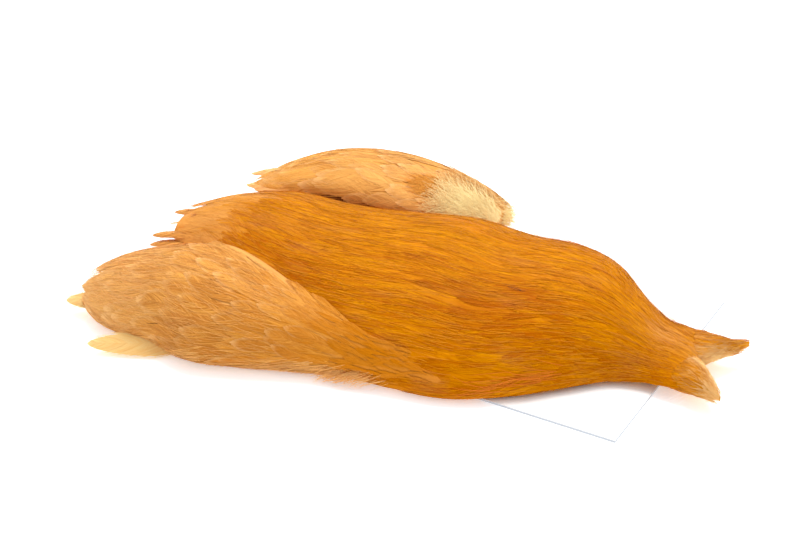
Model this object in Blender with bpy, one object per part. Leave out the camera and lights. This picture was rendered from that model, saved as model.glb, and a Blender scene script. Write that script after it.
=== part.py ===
"""Hen cape: the dried skin of a hen's neck and shoulders with its feathers on, on its backing card.

The neck points along +X and the feathers lie back towards -X. Y runs across the cape, from its near
side at -Y to its far side at +Y, and Z is up. The origin is under the middle of the whole outline, on
the surface that the card lies on. Sizes are named in millimetres and scaled to metres by MM.
"""

import math
import random

import bmesh
import bpy
from mathutils import Vector

MM = 0.001

# Driving dimensions, in millimetres. The cape's own axis lies along AXIS_Y. WHOLE_SHIFT then moves
# everything, so that the origin comes under the middle of the whole outline.
CAPE_LENGTH = 199.0
NECK_TIP_X = 105.0
TAIL_TIP_X = NECK_TIP_X - CAPE_LENGTH
AXIS_Y = -7.5
NOTCH_DEPTH = 14.0
PRONG_SPREAD = 16.5
CARD_LENGTH = 152.0
CARD_WIDTH = 89.0
CARD_THICKNESS = 0.8
CARD_TURN = math.radians(-6.4)
CARD_NEAR_CORNER = (80.5, -49.0)
WHOLE_SHIFT = (0.2, 1.6)
SKIN_THICKNESS = 1.3
GAP = 0.35

SKIN_TOP_Z = CARD_THICKNESS + GAP + SKIN_THICKNESS
NOTCH_X = NECK_TIP_X - NOTCH_DEPTH

# The skin starts under the cape's tail, stays SKIN_INSET inside the feathers' outline, and has a
# tab on each side where a shoulder patch grows. Each of its neck points narrows to a tip.
SKIN_TAIL_X = -62.0
SKIN_INSET = 7.0
NEAR_TAB = 2.0
FAR_TAB = 17.0
TAB_X = 14.0
TAB_REACH = 30.0
POINT_TIP_WIDTH = 1.6
NOTCH_CURVE = 0.82
PRONG_CURVE = 1.2

# How high the neck end of the skin curls off the surface, from flat at CURL_START_X to the tips.
CURL_START_X = NOTCH_X - 24.0
CURL_HEIGHT = 4.2

# Stations of each bank of feathers from its root to its tail:
# (x, near edge y, far edge y, height of the widest line, top, underside). Where the skin curls up,
# the heights count from its curl.
CAPE_STATIONS = (
    (NOTCH_X - 1.0, AXIS_Y - 9.5, AXIS_Y + 10.5, 3.8, 5.2, 2.9),
    (80.0, AXIS_Y - 11.0, AXIS_Y + 14.0, 4.1, 9.4, 2.9),
    (70.0, AXIS_Y - 15.5, AXIS_Y + 22.0, 4.3, 15.4, 2.9),
    (59.0, AXIS_Y - 25.5, AXIS_Y + 33.0, 4.2, 20.5, 2.9),
    (46.0, AXIS_Y - 35.5, AXIS_Y + 41.0, 4.4, 24.5, 2.9),
    (28.0, AXIS_Y - 43.5, AXIS_Y + 44.0, 4.8, 26.5, 2.9),
    (8.0, AXIS_Y - 46.5, AXIS_Y + 44.0, 5.0, 27.0, 2.9),
    (-12.0, AXIS_Y - 45.0, AXIS_Y + 41.0, 5.5, 26.5, 2.9),
    (-34.0, AXIS_Y - 38.0, AXIS_Y + 37.0, 7.0, 25.5, 2.9),
    (-54.0, AXIS_Y - 29.0, AXIS_Y + 31.0, 9.0, 24.0, 3.4),
    (-72.0, AXIS_Y - 19.0, AXIS_Y + 22.0, 10.5, 20.0, 6.0),
    (TAIL_TIP_X + 9.0, AXIS_Y - 11.0, AXIS_Y + 13.0, 11.5, 15.5, 8.5),
    (TAIL_TIP_X + 4.0, AXIS_Y - 4.0, AXIS_Y + 6.0, 12.0, 13.5, 10.5),
)
NEAR_SHOULDER_STATIONS = (
    (30.0, -53.2, -49.6, 9.6, 10.8, 8.2),
    (20.0, -56.0, -44.0, 8.6, 12.4, 6.0),
    (8.0, -59.5, -40.5, 7.6, 13.8, 3.4),
    (-6.0, -62.0, -36.0, 7.0, 15.8, 3.0),
    (-22.0, -64.5, -30.5, 6.8, 18.4, 2.9),
    (-38.0, -66.5, -23.0, 6.8, 21.6, 2.9),
    (-54.0, -66.5, -17.0, 7.0, 23.7, 2.9),
    (-68.0, -64.5, -17.0, 7.0, 23.0, 2.8),
    (-80.0, -62.0, -21.5, 7.0, 20.4, 2.6),
    (-90.0, -59.0, -28.0, 7.0, 17.0, 3.0),
    (-97.0, -54.0, -34.5, 7.2, 13.2, 3.8),
    (-101.5, -48.5, -39.0, 7.4, 9.6, 5.4),
)
FAR_SHOULDER_STATIONS = (
    (23.0, 43.6, 48.0, 5.6, 7.0, 4.2),
    (16.0, 41.0, 52.0, 6.5, 9.2, 3.6),
    (7.0, 37.0, 57.0, 7.5, 13.5, 3.2),
    (-7.0, 33.0, 61.5, 9.0, 18.0, 3.0),
    (-24.0, 31.0, 65.5, 10.5, 21.0, 4.0),
    (-42.0, 31.0, 65.0, 11.0, 22.0, 6.0),
    (-57.0, 29.0, 59.5, 10.5, 20.5, 7.0),
    (-68.0, 28.0, 50.5, 10.5, 17.5, 8.0),
    (-76.0, 29.0, 41.0, 10.5, 14.0, 8.5),
    (-80.0, 31.0, 36.0, 10.5, 11.8, 9.3),
)

# Cross-section shape on the near and the far side: a power of 2 is an ellipse, and more is fuller.
CAPE_FULLNESS = (1.8, 2.4)
SHOULDER_FULLNESS = (2.2, 2.2)
CAPE_CREST_LEAN = 0.06
NEAR_CREST_LEAN = 0.10
FAR_CREST_LEAN = 0.05

# Locks of feathers: each is a leaf whose sides sink LOCK_SINK under its bank's surface, whose keel
# reaches LOCK_KEEL under it, and whose tip lifts by LOCK_LIFT. No tip passes the bank's tail by more
# than LOCK_PAST_TAIL. LOCK_FAN is the part of a half turn that a row of locks spreads over.
LOCK_SINK = 0.9
LOCK_LIFT = 1.0
LOCK_KEEL = 3.0
LOCK_PAST_TAIL = 3.0
LOCK_STEPS = 8
LOCK_SEED = 11
LOCK_FAN = 148.0
CAPE_LOCK = (44.0, 10.0, 1.3)
NEAR_LOCK = (36.0, 9.0, 1.2)
FAR_LOCK = (32.0, 8.5, 1.2)

# The two pale feathers that stick out from under the near shoulder patch: start, bend and tip.
UNDER_FEATHER = ((-34.0, -50.0, 7.0), (-62.0, -63.0, 3.0), (-89.0, -67.0, 1.4))
TAIL_FEATHER = ((-72.0, -42.0, 9.0), (-92.0, -45.0, 5.6), (-105.5, -47.0, 3.2))

# How far the cape is cut clear of the shoulder patches, their locks included.
CLEAR_OF_SHOULDER = 2.6

# Colours of the dyed feathers, the bare skin and the card.
COLOURS = {
    "cape_feathers": ((0.60, 0.19, 0.012, 1.0), 0.62),
    "near_shoulder_feathers": ((0.78, 0.40, 0.10, 1.0), 0.66),
    "far_shoulder_feathers": ((0.80, 0.45, 0.13, 1.0), 0.66),
    "skin": ((0.85, 0.60, 0.24, 1.0), 0.55),
    "backing_card": ((0.90, 0.90, 0.88, 1.0), 0.80),
}


def ease(t):
    """A smooth step from 0 to 1."""
    t = min(max(t, 0.0), 1.0)
    return t * t * (3.0 - 2.0 * t)


def curl(x):
    """How far the neck end of the skin stands off the surface at x, in mm."""
    return CURL_HEIGHT * ease((x - CURL_START_X) / (NECK_TIP_X - CURL_START_X))


def between(stations, x):
    """The stations' values at x, on a smooth curve through them. Past either end they hold still."""
    if x >= stations[0][0]:
        return stations[0][1:]
    if x <= stations[-1][0]:
        return stations[-1][1:]
    k = next(i for i in range(len(stations) - 1) if stations[i + 1][0] <= x)
    before, start = stations[max(k - 1, 0)], stations[k]
    end, after = stations[k + 1], stations[min(k + 2, len(stations) - 1)]
    span = end[0] - start[0]
    t = (x - start[0]) / span
    values = []
    for n in range(1, len(start)):
        slope_in = (end[n] - before[n]) / (end[0] - before[0]) * span
        slope_out = (after[n] - start[n]) / (after[0] - start[0]) * span
        values.append(
            (2 * t**3 - 3 * t**2 + 1) * start[n]
            + (t**3 - 2 * t**2 + t) * slope_in
            + (3 * t**2 - 2 * t**3) * end[n]
            + (t**3 - t**2) * slope_out
        )
    return values


class Bank:
    """A bank of feathers: rounded cross-sections strung along X from its root to its tail."""

    def __init__(self, stations, fullness, lean):
        self.stations = stations
        self.fullness = fullness
        self.lean = lean
        self.root_x = stations[0][0]
        self.tail_x = stations[-1][0]

    def point(self, x, angle, grow=0.0):
        """The surface at x, turned by angle from the far edge over the crest. grow thickens it."""
        near, far, edge_z, top, under = between(self.stations, x)
        edge_z, top, under = edge_z + curl(x), top + curl(x), under + curl(x)
        half = (far - near) / 2 + grow
        across, up = math.cos(angle), math.sin(angle)
        power = 2.0 / self.fullness[0 if across < 0 else 1]
        flat_across = math.copysign(abs(across) ** power, across)
        flat_up = math.copysign(abs(up) ** power, up)
        rise = top + grow - edge_z if up > 0 else edge_z - under + grow
        y = (near + far) / 2 + half * (flat_across + self.lean * max(flat_up, 0.0))
        return Vector((x, y, edge_z + rise * flat_up))

    def speed(self, x, angle):
        """How many millimetres of surface go by for each radian of angle."""
        return (self.point(x, angle + 0.05) - self.point(x, angle - 0.05)).length / 0.1

    def frame(self, x, angle):
        """The surface point at x and angle, with the direction out of the surface."""
        across = self.point(x, angle - 0.05) - self.point(x, angle + 0.05)
        back = self.point(x - 1.0, angle) - self.point(x + 1.0, angle)
        return self.point(x, angle), across.cross(back).normalized()


CAPE = Bank(CAPE_STATIONS, CAPE_FULLNESS, CAPE_CREST_LEAN)
NEAR_SHOULDER = Bank(NEAR_SHOULDER_STATIONS, SHOULDER_FULLNESS, NEAR_CREST_LEAN)
FAR_SHOULDER = Bank(FAR_SHOULDER_STATIONS, SHOULDER_FULLNESS, FAR_CREST_LEAN)


def mesh_object(name, points, faces):
    """A mesh object from points in millimetres, with its faces turned outwards."""
    mesh = bpy.data.meshes.new(name)
    mesh.from_pydata([Vector(p) * MM for p in points], [], faces)
    body = bmesh.new()
    body.from_mesh(mesh)
    bmesh.ops.recalc_face_normals(body, faces=body.faces)
    body.to_mesh(mesh)
    body.free()
    thing = bpy.data.objects.new(name, mesh)
    bpy.context.scene.collection.objects.link(thing)
    return thing


def skin_over(rings):
    """Faces that join equal rings of points one after another and close both ends."""
    around = len(rings[0])
    faces = [tuple(reversed(range(around)))]
    for k in range(len(rings) - 1):
        for n in range(around):
            m = (n + 1) % around
            a, b = k * around, (k + 1) * around
            faces.append((a + n, a + m, b + m, b + n))
    last = (len(rings) - 1) * around
    faces.append(tuple(range(last, last + around)))
    return faces


def bank_body(name, bank, count, around, grow=0.0):
    """The plain rounded body of a bank. A grown one serves as a cutter for its neighbour."""
    length = bank.root_x - bank.tail_x + 2 * grow
    rings = []
    for k in range(count):
        x = bank.root_x + grow - length * k / (count - 1)
        rings.append([bank.point(x, math.tau * n / around, grow) for n in range(around)])
    return mesh_object(name, [p for ring in rings for p in ring], skin_over(rings))


def leaf(name, sections, root, tip):
    """A feather lock: four-cornered sections from its root to its tip, both of them points."""
    points = [root] + [corner for section in sections for corner in section] + [tip]
    last = len(points) - 1
    faces = [(0, 1 + n, 1 + (n + 1) % 4) for n in range(4)]
    for k in range(len(sections) - 1):
        a, b = 1 + 4 * k, 5 + 4 * k
        faces += [(a + n, b + n, b + (n + 1) % 4, a + (n + 1) % 4) for n in range(4)]
    faces += [(last, last - 4 + (n + 1) % 4, last - 4 + n) for n in range(4)]
    return mesh_object(name, points, faces)


def lock_on(bank, name, root_x, angle, length, half_width, ridge, turn):
    """A lock lying on a bank from root_x towards the tail. turn swings its tip round the bank.

    Its sides stay just under the bank's surface and its back stands proud of it as a ridge. Only
    the last part of it lifts clear.
    """
    length = min(length, root_x - bank.tail_x + LOCK_PAST_TAIL)
    stations = []
    for k in range(LOCK_STEPS):
        t = k / (LOCK_STEPS - 1)
        x = root_x - length * t
        here, out = bank.frame(x, angle + turn * t * t)
        lift = LOCK_LIFT * ease((t - 0.55) / 0.45) - LOCK_SINK * (1.0 - t)
        reach = half_width * math.sin(math.pi * t**1.35) ** 0.7 / bank.speed(x, angle)
        stations.append((t, x, here, out, lift, reach))
    sections = []
    for t, x, here, out, lift, reach in stations[1:-1]:
        centre = angle + turn * t * t
        far_side = bank.point(x, centre - reach) - out * LOCK_SINK
        near_side = bank.point(x, centre + reach) - out * LOCK_SINK
        back = here + out * (lift + ridge)
        keel = here - out * LOCK_KEEL * (1.0 - 0.6 * t)
        sections.append((far_side, back, near_side, keel))
    root = stations[0][2] - stations[0][3] * LOCK_KEEL
    tip = stations[-1][2] + stations[-1][3] * (stations[-1][4] + 0.2 * ridge)
    return leaf(name, sections, root, tip)


def free_lock(name, path, half_width, half_thickness):
    """A lock along a free path of three points, lying flat, for a feather that sticks out."""
    start, middle, end = (Vector(p) for p in path)
    up = Vector((0.0, 0.0, 1.0))
    sections = []
    for k in range(1, LOCK_STEPS - 1):
        t = k / (LOCK_STEPS - 1)
        here = start * (1 - t) ** 2 + middle * 2 * t * (1 - t) + end * t * t
        along = (middle - start) * (1 - t) + (end - middle) * t
        side = up.cross(along).normalized() * half_width * math.sin(math.pi * t**1.2) ** 0.7
        rise = up * half_thickness * math.sin(math.pi * t) ** 0.6
        sections.append((here - side, here + rise, here + side, here - rise))
    return leaf(name, sections, start, end)


def rows_of_locks(bank, label, first_x, last_x, rows, across, size, rng):
    """Staggered rows of locks from the root to the tail, narrower where the bank is.

    size is a lock's length, half its width and the height of its ridge.
    """
    length, width, ridge = size
    locks = []
    for r in range(rows):
        root_x = first_x + (last_x - first_x) * r / (rows - 1)
        count = across - r % 2
        near, far = between(bank.stations, root_x - 0.6 * length)[:2]
        share = min(1.0, 0.35 + (far - near) / 90.0)
        for n in range(count):
            place = (n + 0.5) / count
            spread = 90.0 + LOCK_FAN * (place - 0.5)
            angle = math.radians(spread + rng.uniform(-4.0, 4.0))
            locks.append(
                lock_on(
                    bank,
                    f"{label}_lock_{r}_{n}",
                    root_x + rng.uniform(-3.0, 3.0),
                    angle,
                    length * rng.uniform(0.9, 1.1),
                    width * share,
                    ridge,
                    math.radians(rng.uniform(-5.0, 5.0)),
                )
            )
    return locks


def hide(things, collection_name):
    """Moves guide objects into a collection of their own, out of the render."""
    collection = bpy.data.collections.new(collection_name)
    bpy.context.scene.collection.children.link(collection)
    for thing in things:
        bpy.context.scene.collection.objects.unlink(thing)
        collection.objects.link(thing)
        thing.hide_render = True
        thing.display_type = "WIRE"
    return collection


def boolean(thing, name, operation, collection):
    """Adds an exact Boolean with every object of a collection."""
    modifier = thing.modifiers.new(name, "BOOLEAN")
    modifier.operation = operation
    modifier.operand_type = "COLLECTION"
    modifier.collection = collection
    modifier.solver = "EXACT"


def make_card():
    """The stiff card: one bevelled slab, turned a little from the cape's axis."""
    length, width = CARD_LENGTH * MM, CARD_WIDTH * MM
    thickness = CARD_THICKNESS * MM
    bpy.ops.mesh.primitive_cube_add(size=1.0)
    card = bpy.context.active_object
    card.name = "backing_card"
    for vertex in card.data.vertices:
        vertex.co.x = (vertex.co.x - 0.5) * length
        vertex.co.y = (vertex.co.y + 0.5) * width
        vertex.co.z = (vertex.co.z + 0.5) * thickness
    card.location = (CARD_NEAR_CORNER[0] * MM, CARD_NEAR_CORNER[1] * MM, 0.0)
    card.rotation_euler.z = CARD_TURN
    return card


def skin_half_widths(x):
    """How far the skin reaches to the near and the far side of the cape's axis at x, in mm."""
    near, far = between(CAPE_STATIONS, min(x, NOTCH_X - 1.0))[:2]
    tab = ease(1.0 - abs(x - TAB_X) / TAB_REACH)
    inset = SKIN_INSET * ease((NOTCH_X - 8.0 - x) / 30.0)
    return AXIS_Y - near - inset + NEAR_TAB * tab, far - AXIS_Y - inset + FAR_TAB * tab


def make_skin():
    """The hide: a thin sheet under the feathers that forks into two points at the neck.

    Rows of points run across it from the tail to the notch. From there each half narrows on its own
    to a point, the two points spreading apart. A Solidify modifier gives the sheet its thickness.
    """
    half, rows, prong_rows = 5, 22, 7
    across = 2 * half
    points, faces = [], []
    for k in range(rows + 1):
        x = SKIN_TAIL_X + (NOTCH_X - SKIN_TAIL_X) * k / rows
        near, far = skin_half_widths(x)
        tail = ease((x - SKIN_TAIL_X) / 26.0) ** 0.5 if k else 0.35
        for n in range(across + 1):
            share = n / half - 1.0
            y = AXIS_Y + share * tail * (far if share > 0 else near)
            points.append((x, y, SKIN_TOP_Z + curl(x)))
    for k in range(rows):
        for n in range(across):
            a = k * (across + 1) + n
            faces.append((a, a + across + 1, a + across + 2, a + 1))
    last = rows * (across + 1)
    near, far = skin_half_widths(NOTCH_X)
    for side, reach, base in ((-1, near, last), (1, far, last + half)):
        previous = list(range(base, base + half + 1))
        for k in range(1, prong_rows + 1):
            t = k / prong_rows
            x = NOTCH_X + NOTCH_DEPTH * t
            outer = AXIS_Y + side * (reach + (PRONG_SPREAD - reach) * t**PRONG_CURVE)
            inner = AXIS_Y + side * (PRONG_SPREAD - POINT_TIP_WIDTH / 2) * t**NOTCH_CURVE
            low, high = (outer, inner) if side < 0 else (inner, outer)
            current = []
            for n in range(half + 1):
                current.append(len(points))
                points.append((x, low + (high - low) * n / half, SKIN_TOP_Z + curl(x)))
            for n in range(half):
                faces.append((previous[n], current[n], current[n + 1], previous[n + 1]))
            previous = current
    skin = mesh_object("skin", points, faces)
    wall = skin.modifiers.new("Thickness", "SOLIDIFY")
    wall.thickness = SKIN_THICKNESS * MM
    wall.offset = -1.0
    return skin


def make_prong_locks():
    """The short feathers of the two neck points: one flat lock along each, on top of the skin."""
    locks = []
    for label, side in (("near", -1), ("far", 1)):
        top = SKIN_TOP_Z + GAP
        path = (
            (NOTCH_X - 14.0, AXIS_Y + side * 5.0, top + curl(NOTCH_X - 14.0) + 2.4),
            (NOTCH_X + 1.0, AXIS_Y + side * 8.5, top + curl(NOTCH_X) + 2.3),
            (NECK_TIP_X - 2.5, AXIS_Y + side * 15.6, top + curl(NECK_TIP_X) + 0.9),
        )
        locks.append(free_lock(f"{label}_neck_lock", path, 5.2, 1.35))
    return locks


def make_near_shoulder():
    """The near shoulder patch, with two pale feathers that stick out from under it."""
    rng = random.Random(LOCK_SEED + 1)
    body = bank_body("near_shoulder_feathers", NEAR_SHOULDER, 15, 18)
    locks = rows_of_locks(NEAR_SHOULDER, "near", 14.0, -66.0, 6, 4, NEAR_LOCK, rng)
    locks.append(free_lock("under_feather_lock", UNDER_FEATHER, 5.5, 0.8))
    locks.append(free_lock("tail_feather_lock", TAIL_FEATHER, 5.0, 0.9))
    boolean(body, "Locks", "UNION", hide(locks, "near_shoulder_locks"))
    return body


def make_far_shoulder():
    """The far shoulder patch, standing off behind the cape."""
    rng = random.Random(LOCK_SEED + 2)
    body = bank_body("far_shoulder_feathers", FAR_SHOULDER, 14, 18)
    locks = rows_of_locks(FAR_SHOULDER, "far", 8.0, -56.0, 5, 4, FAR_LOCK, rng)
    boolean(body, "Locks", "UNION", hide(locks, "far_shoulder_locks"))
    return body


def make_cape():
    """The cape itself: the long bank of hackle, cut clear of the two shoulder patches."""
    rng = random.Random(LOCK_SEED)
    body = bank_body("cape_feathers", CAPE, 25, 24)
    locks = rows_of_locks(CAPE, "cape", 80.0, -58.0, 9, 5, CAPE_LOCK, rng)
    locks += make_prong_locks()
    boolean(body, "Locks", "UNION", hide(locks, "cape_locks"))
    cutters = [
        bank_body("near_clearance", NEAR_SHOULDER, 15, 18, CLEAR_OF_SHOULDER),
        bank_body("far_clearance", FAR_SHOULDER, 14, 18, CLEAR_OF_SHOULDER),
    ]
    boolean(body, "Clearance", "DIFFERENCE", hide(cutters, "clearances"))
    return body


def give_material(thing):
    """Each piece's own plain material, from its dyed or natural colour."""
    colour, roughness = COLOURS[thing.name]
    material = bpy.data.materials.new(thing.name)
    material.use_nodes = True
    shader = material.node_tree.nodes["Principled BSDF"]
    shader.inputs["Base Color"].default_value = colour
    shader.inputs["Roughness"].default_value = roughness
    shader.inputs["Metallic"].default_value = 0.0
    thing.data.materials.append(material)


def main():
    for thing in list(bpy.data.objects):
        bpy.data.objects.remove(thing)
    for make in (make_card, make_skin, make_cape, make_near_shoulder, make_far_shoulder):
        give_material(make())
    holder = bpy.data.objects.new("hen_cape", None)
    holder.location = (WHOLE_SHIFT[0] * MM, WHOLE_SHIFT[1] * MM, 0.0)
    for thing in list(bpy.data.objects):
        if thing is not holder:
            thing.parent = holder
    bpy.context.scene.collection.objects.link(holder)


main()
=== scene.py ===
"""The looks of a hen cape: its plumage, dried skin, backing card, floor, light and camera.

Every bank of feathers is a smooth mound given by a formula. Feathers are laid on it in overlapping
rows: each has a vane, a shaft and some dozens of barbs, and all of them are worked out as whole
arrays. The neck points along +X and the feathers lie back towards -X. All lengths here are in
millimetres until a mesh is made from them.
"""

import math
from dataclasses import dataclass, replace

import bpy
import numpy as np
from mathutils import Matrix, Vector


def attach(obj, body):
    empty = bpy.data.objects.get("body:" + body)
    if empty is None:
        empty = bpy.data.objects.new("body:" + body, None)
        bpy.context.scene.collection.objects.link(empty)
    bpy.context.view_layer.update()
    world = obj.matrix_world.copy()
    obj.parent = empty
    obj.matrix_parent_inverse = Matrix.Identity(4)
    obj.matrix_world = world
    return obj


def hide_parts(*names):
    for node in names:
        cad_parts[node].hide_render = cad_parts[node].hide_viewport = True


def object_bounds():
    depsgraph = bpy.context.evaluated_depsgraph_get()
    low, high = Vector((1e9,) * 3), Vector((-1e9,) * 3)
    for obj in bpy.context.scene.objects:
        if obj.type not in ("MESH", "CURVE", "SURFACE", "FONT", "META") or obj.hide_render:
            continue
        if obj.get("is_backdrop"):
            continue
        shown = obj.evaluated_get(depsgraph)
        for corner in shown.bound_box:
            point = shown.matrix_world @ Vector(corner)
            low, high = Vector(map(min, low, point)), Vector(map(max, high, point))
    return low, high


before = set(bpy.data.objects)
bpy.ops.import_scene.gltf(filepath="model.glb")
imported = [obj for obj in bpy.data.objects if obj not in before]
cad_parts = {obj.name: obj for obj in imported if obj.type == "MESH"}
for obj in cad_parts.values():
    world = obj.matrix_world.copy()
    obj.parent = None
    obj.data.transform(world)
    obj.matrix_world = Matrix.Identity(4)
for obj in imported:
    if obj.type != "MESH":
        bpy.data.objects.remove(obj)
CAD_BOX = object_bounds()

bl_info = {
    "name": "Hen Cape",
    "version": (1, 0, 0),
    "blender": (4, 5, 0),
    "location": "3D View > Sidebar > Cape",
    "description": "Lays the plumage of a hen cape on its modelled skin and card",
    "category": "Object",
}

MM = 0.001

# The stations of each bank: (x, near edge y, far edge y, height of the widest line, top,
# underside), close to those of the solids. The cape's y are from its axis. WHOLE_SHIFT moves all
# banks to the frame's origin, and their neck end is raised by curl().
WHOLE_SHIFT = (0.2, 1.6, 0.0)
AXIS_Y = -7.5
NECK_TIP_X = 105.0
CURL_START_X = 67.0
CURL_HEIGHT = 4.2
CAPE_STATIONS = (
    (95.0, -14.0, 13.4, 2.4, 3.9, 3.5),
    (91.0, -14.6, 15.4, 2.6, 6.9, 3.7),
    (85.0, -13.9, 16.6, 2.6, 9.4, 3.7),
    (80.0, -13.1, 16.8, 2.6, 11.4, 3.7),
    (70.0, -15.4, 24.0, 2.6, 17.2, 3.7),
    (59.0, -24.0, 35.0, 2.7, 21.8, 3.7),
    (46.0, -33.8, 40.4, 3.4, 24.0, 3.4),
    (28.0, -42.8, 40.4, 4.8, 24.6, 2.9),
    (8.0, -44.5, 41.4, 5.0, 26.6, 2.9),
    (-12.0, -43.0, 37.0, 5.5, 26.0, 2.9),
    (-34.0, -38.0, 33.2, 7.0, 25.2, 2.9),
    (-54.0, -28.0, 32.4, 9.0, 24.8, 3.4),
    (-72.0, -12.0, 25.0, 10.5, 22.0, 6.0),
    (-85.0, -9.5, 15.4, 11.5, 18.6, 8.5),
    (-93.0, -9.0, 11.0, 12.0, 15.0, 10.0),
)
NEAR_STATIONS = (
    (30.0, -50.2, -46.6, 7.2, 8.0, 5.0),
    (20.0, -51.0, -41.0, 7.8, 10.6, 5.0),
    (8.0, -52.0, -37.5, 7.6, 13.6, 3.4),
    (-6.0, -53.0, -33.0, 7.0, 15.8, 3.0),
    (-22.0, -56.5, -28.5, 6.8, 18.4, 2.9),
    (-38.0, -61.5, -22.0, 6.8, 21.6, 2.9),
    (-54.0, -65.0, -17.0, 7.0, 23.7, 2.9),
    (-68.0, -60.6, -17.0, 7.0, 23.0, 2.8),
    (-80.0, -59.3, -21.5, 7.0, 20.9, 2.6),
    (-90.0, -56.6, -27.4, 7.2, 18.0, 3.0),
    (-97.0, -52.0, -33.6, 7.6, 14.4, 3.8),
    (-101.5, -47.4, -38.4, 7.8, 10.8, 5.4),
)
FAR_STATIONS = (
    (23.0, 43.6, 48.0, 5.6, 7.0, 4.2),
    (16.0, 41.0, 52.0, 6.5, 9.2, 3.6),
    (7.0, 37.0, 57.4, 7.5, 14.3, 3.2),
    (-7.0, 33.0, 61.9, 10.0, 18.8, 3.0),
    (-24.0, 31.5, 65.5, 13.0, 21.1, 4.0),
    (-42.0, 32.6, 64.6, 14.5, 21.5, 6.0),
    (-57.0, 31.0, 59.5, 14.0, 20.4, 7.0),
    (-68.0, 28.0, 50.9, 12.5, 18.0, 8.0),
    (-76.0, 29.0, 41.4, 10.5, 14.8, 8.5),
    (-80.0, 31.0, 36.0, 10.5, 11.8, 9.3),
)
# A low dark mass in the cleft between the cape and the far patch: painted shadow where shade falls.
CLEFT_SHADOW_STATIONS = (
    (8.0, 30.0, 40.0, 2.8, 5.0, 1.5),
    (-12.0, 26.0, 38.0, 3.6, 6.8, 1.6),
    (-34.0, 22.0, 37.0, 5.0, 8.0, 2.0),
    (-50.0, 20.0, 34.0, 6.4, 9.0, 3.6),
    (-62.0, 20.0, 32.0, 7.4, 9.4, 5.6),
)
# The two neck points as far as they are feathered: (x, how far the inner and the outer edge are
# from the axis, height of the widest line, top, underside).
NEAR_POINT_STATIONS = (
    (105.4, 15.8, 17.6, 2.4, 3.8, 1.6),
    (103.2, 13.4, 17.0, 2.6, 4.8, 1.6),
    (100.0, 8.9, 16.2, 2.8, 6.0, 1.6),
    (96.6, 4.0, 15.6, 2.8, 6.8, 1.6),
    (93.0, 0.2, 14.8, 2.8, 6.8, 1.6),
    (89.7, -0.5, 13.4, 2.8, 6.3, 1.6),
    (85.0, -0.5, 11.5, 3.0, 5.8, 1.6),
    (79.0, -0.5, 9.5, 3.2, 6.0, 1.6),
)
FAR_POINT_STATIONS = (
    (106.8, 14.6, 16.5, 2.4, 4.7, 1.6),
    (104.5, 12.0, 14.8, 2.5, 5.0, 1.6),
    (101.5, 8.4, 13.0, 2.6, 5.6, 1.6),
    (98.0, 4.4, 13.0, 2.8, 6.9, 1.6),
    (94.5, 0.6, 14.2, 2.9, 7.2, 1.6),
    (91.0, -0.2, 16.0, 3.0, 7.1, 1.6),
    (85.0, -0.5, 16.0, 3.4, 6.4, 1.6),
    (79.0, -0.5, 13.5, 3.8, 6.2, 1.6),
)
# Broad soft patches on a bank: (middle x, middle share of the way round, reach in x, reach in
# share, how strong). In the first two tables the colour is lighter there, or darker below 0. On
# the cape these are painted shade and light: two broad darker patches where the bank lies in
# shade, and a lighter one at the neck. On the near patch one is painted shade along its lower
# edge, and the others make it lighter towards its root and tail. Those of the fork are paler,
# and the cream one keeps the stain out of the fluff.
CAPE_SHADE_PATCHES = (
    (36.0, 0.67, 18.0, 0.10, -0.40),
    (-36.0, 0.68, 18.0, 0.06, -0.35),
    (76.0, 0.65, 12.0, 0.14, 0.30),
)
NEAR_SHADE_PATCHES = (
    (-14.0, 0.71, 14.0, 0.08, 0.30),
    (-22.0, 0.93, 16.0, 0.06, -0.25),
    (-82.0, 0.74, 14.0, 0.10, 0.30),
    (-92.0, 0.60, 14.0, 0.40, 0.30),
)
FORK_PATCHES = ((94.5, 0.52, 5.0, 0.12, 0.45), (91.5, 0.46, 5.0, 0.11, 0.50))
CREAM_PATCHES = ((4.5, 0.64, 6.0, 0.13, 1.0),)

# Where the feathers end at the tail: shares of the way round, and the x of the tips there.
CAPE_ENDS = (
    (0.0, 0.20, 0.29, 0.42, 0.58, 0.70, 0.77, 0.86, 1.0),
    (-78.0, -86.0, -96.0, -88.0, -88.0, -93.0, -98.0, -90.0, -84.0),
)
NEAR_ENDS = ((0.0, 0.35, 0.5, 0.68, 0.85, 1.0), (-87.0, -94.0, -100.0, -104.0, -101.0, -93.0))
FAR_ENDS = ((0.0, 0.3, 0.5, 0.75, 1.0), (-76.0, -82.0, -75.0, -82.0, -74.0))

# How full the cross-sections are on the near and on the far side: 2 is an ellipse.
CAPE_FULLNESS = (1.8, 2.4)
SHOULDER_FULLNESS = (2.2, 2.2)

# The card, as in the solids, so that feathers lie on it instead of in it. It counts as reaching
# CARD_MARGIN further. Points stay the CLEARANCE above it, and LANDING is how softly they come down.
CARD_CORNER = (80.5, -49.0)
CARD_TURN = math.radians(-6.4)
CARD_LENGTH = 152.0
CARD_WIDTH = 89.0
CARD_THICKNESS = 0.8
CARD_MARGIN = 1.0
CLEARANCE = 0.15
LANDING = 0.5

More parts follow.
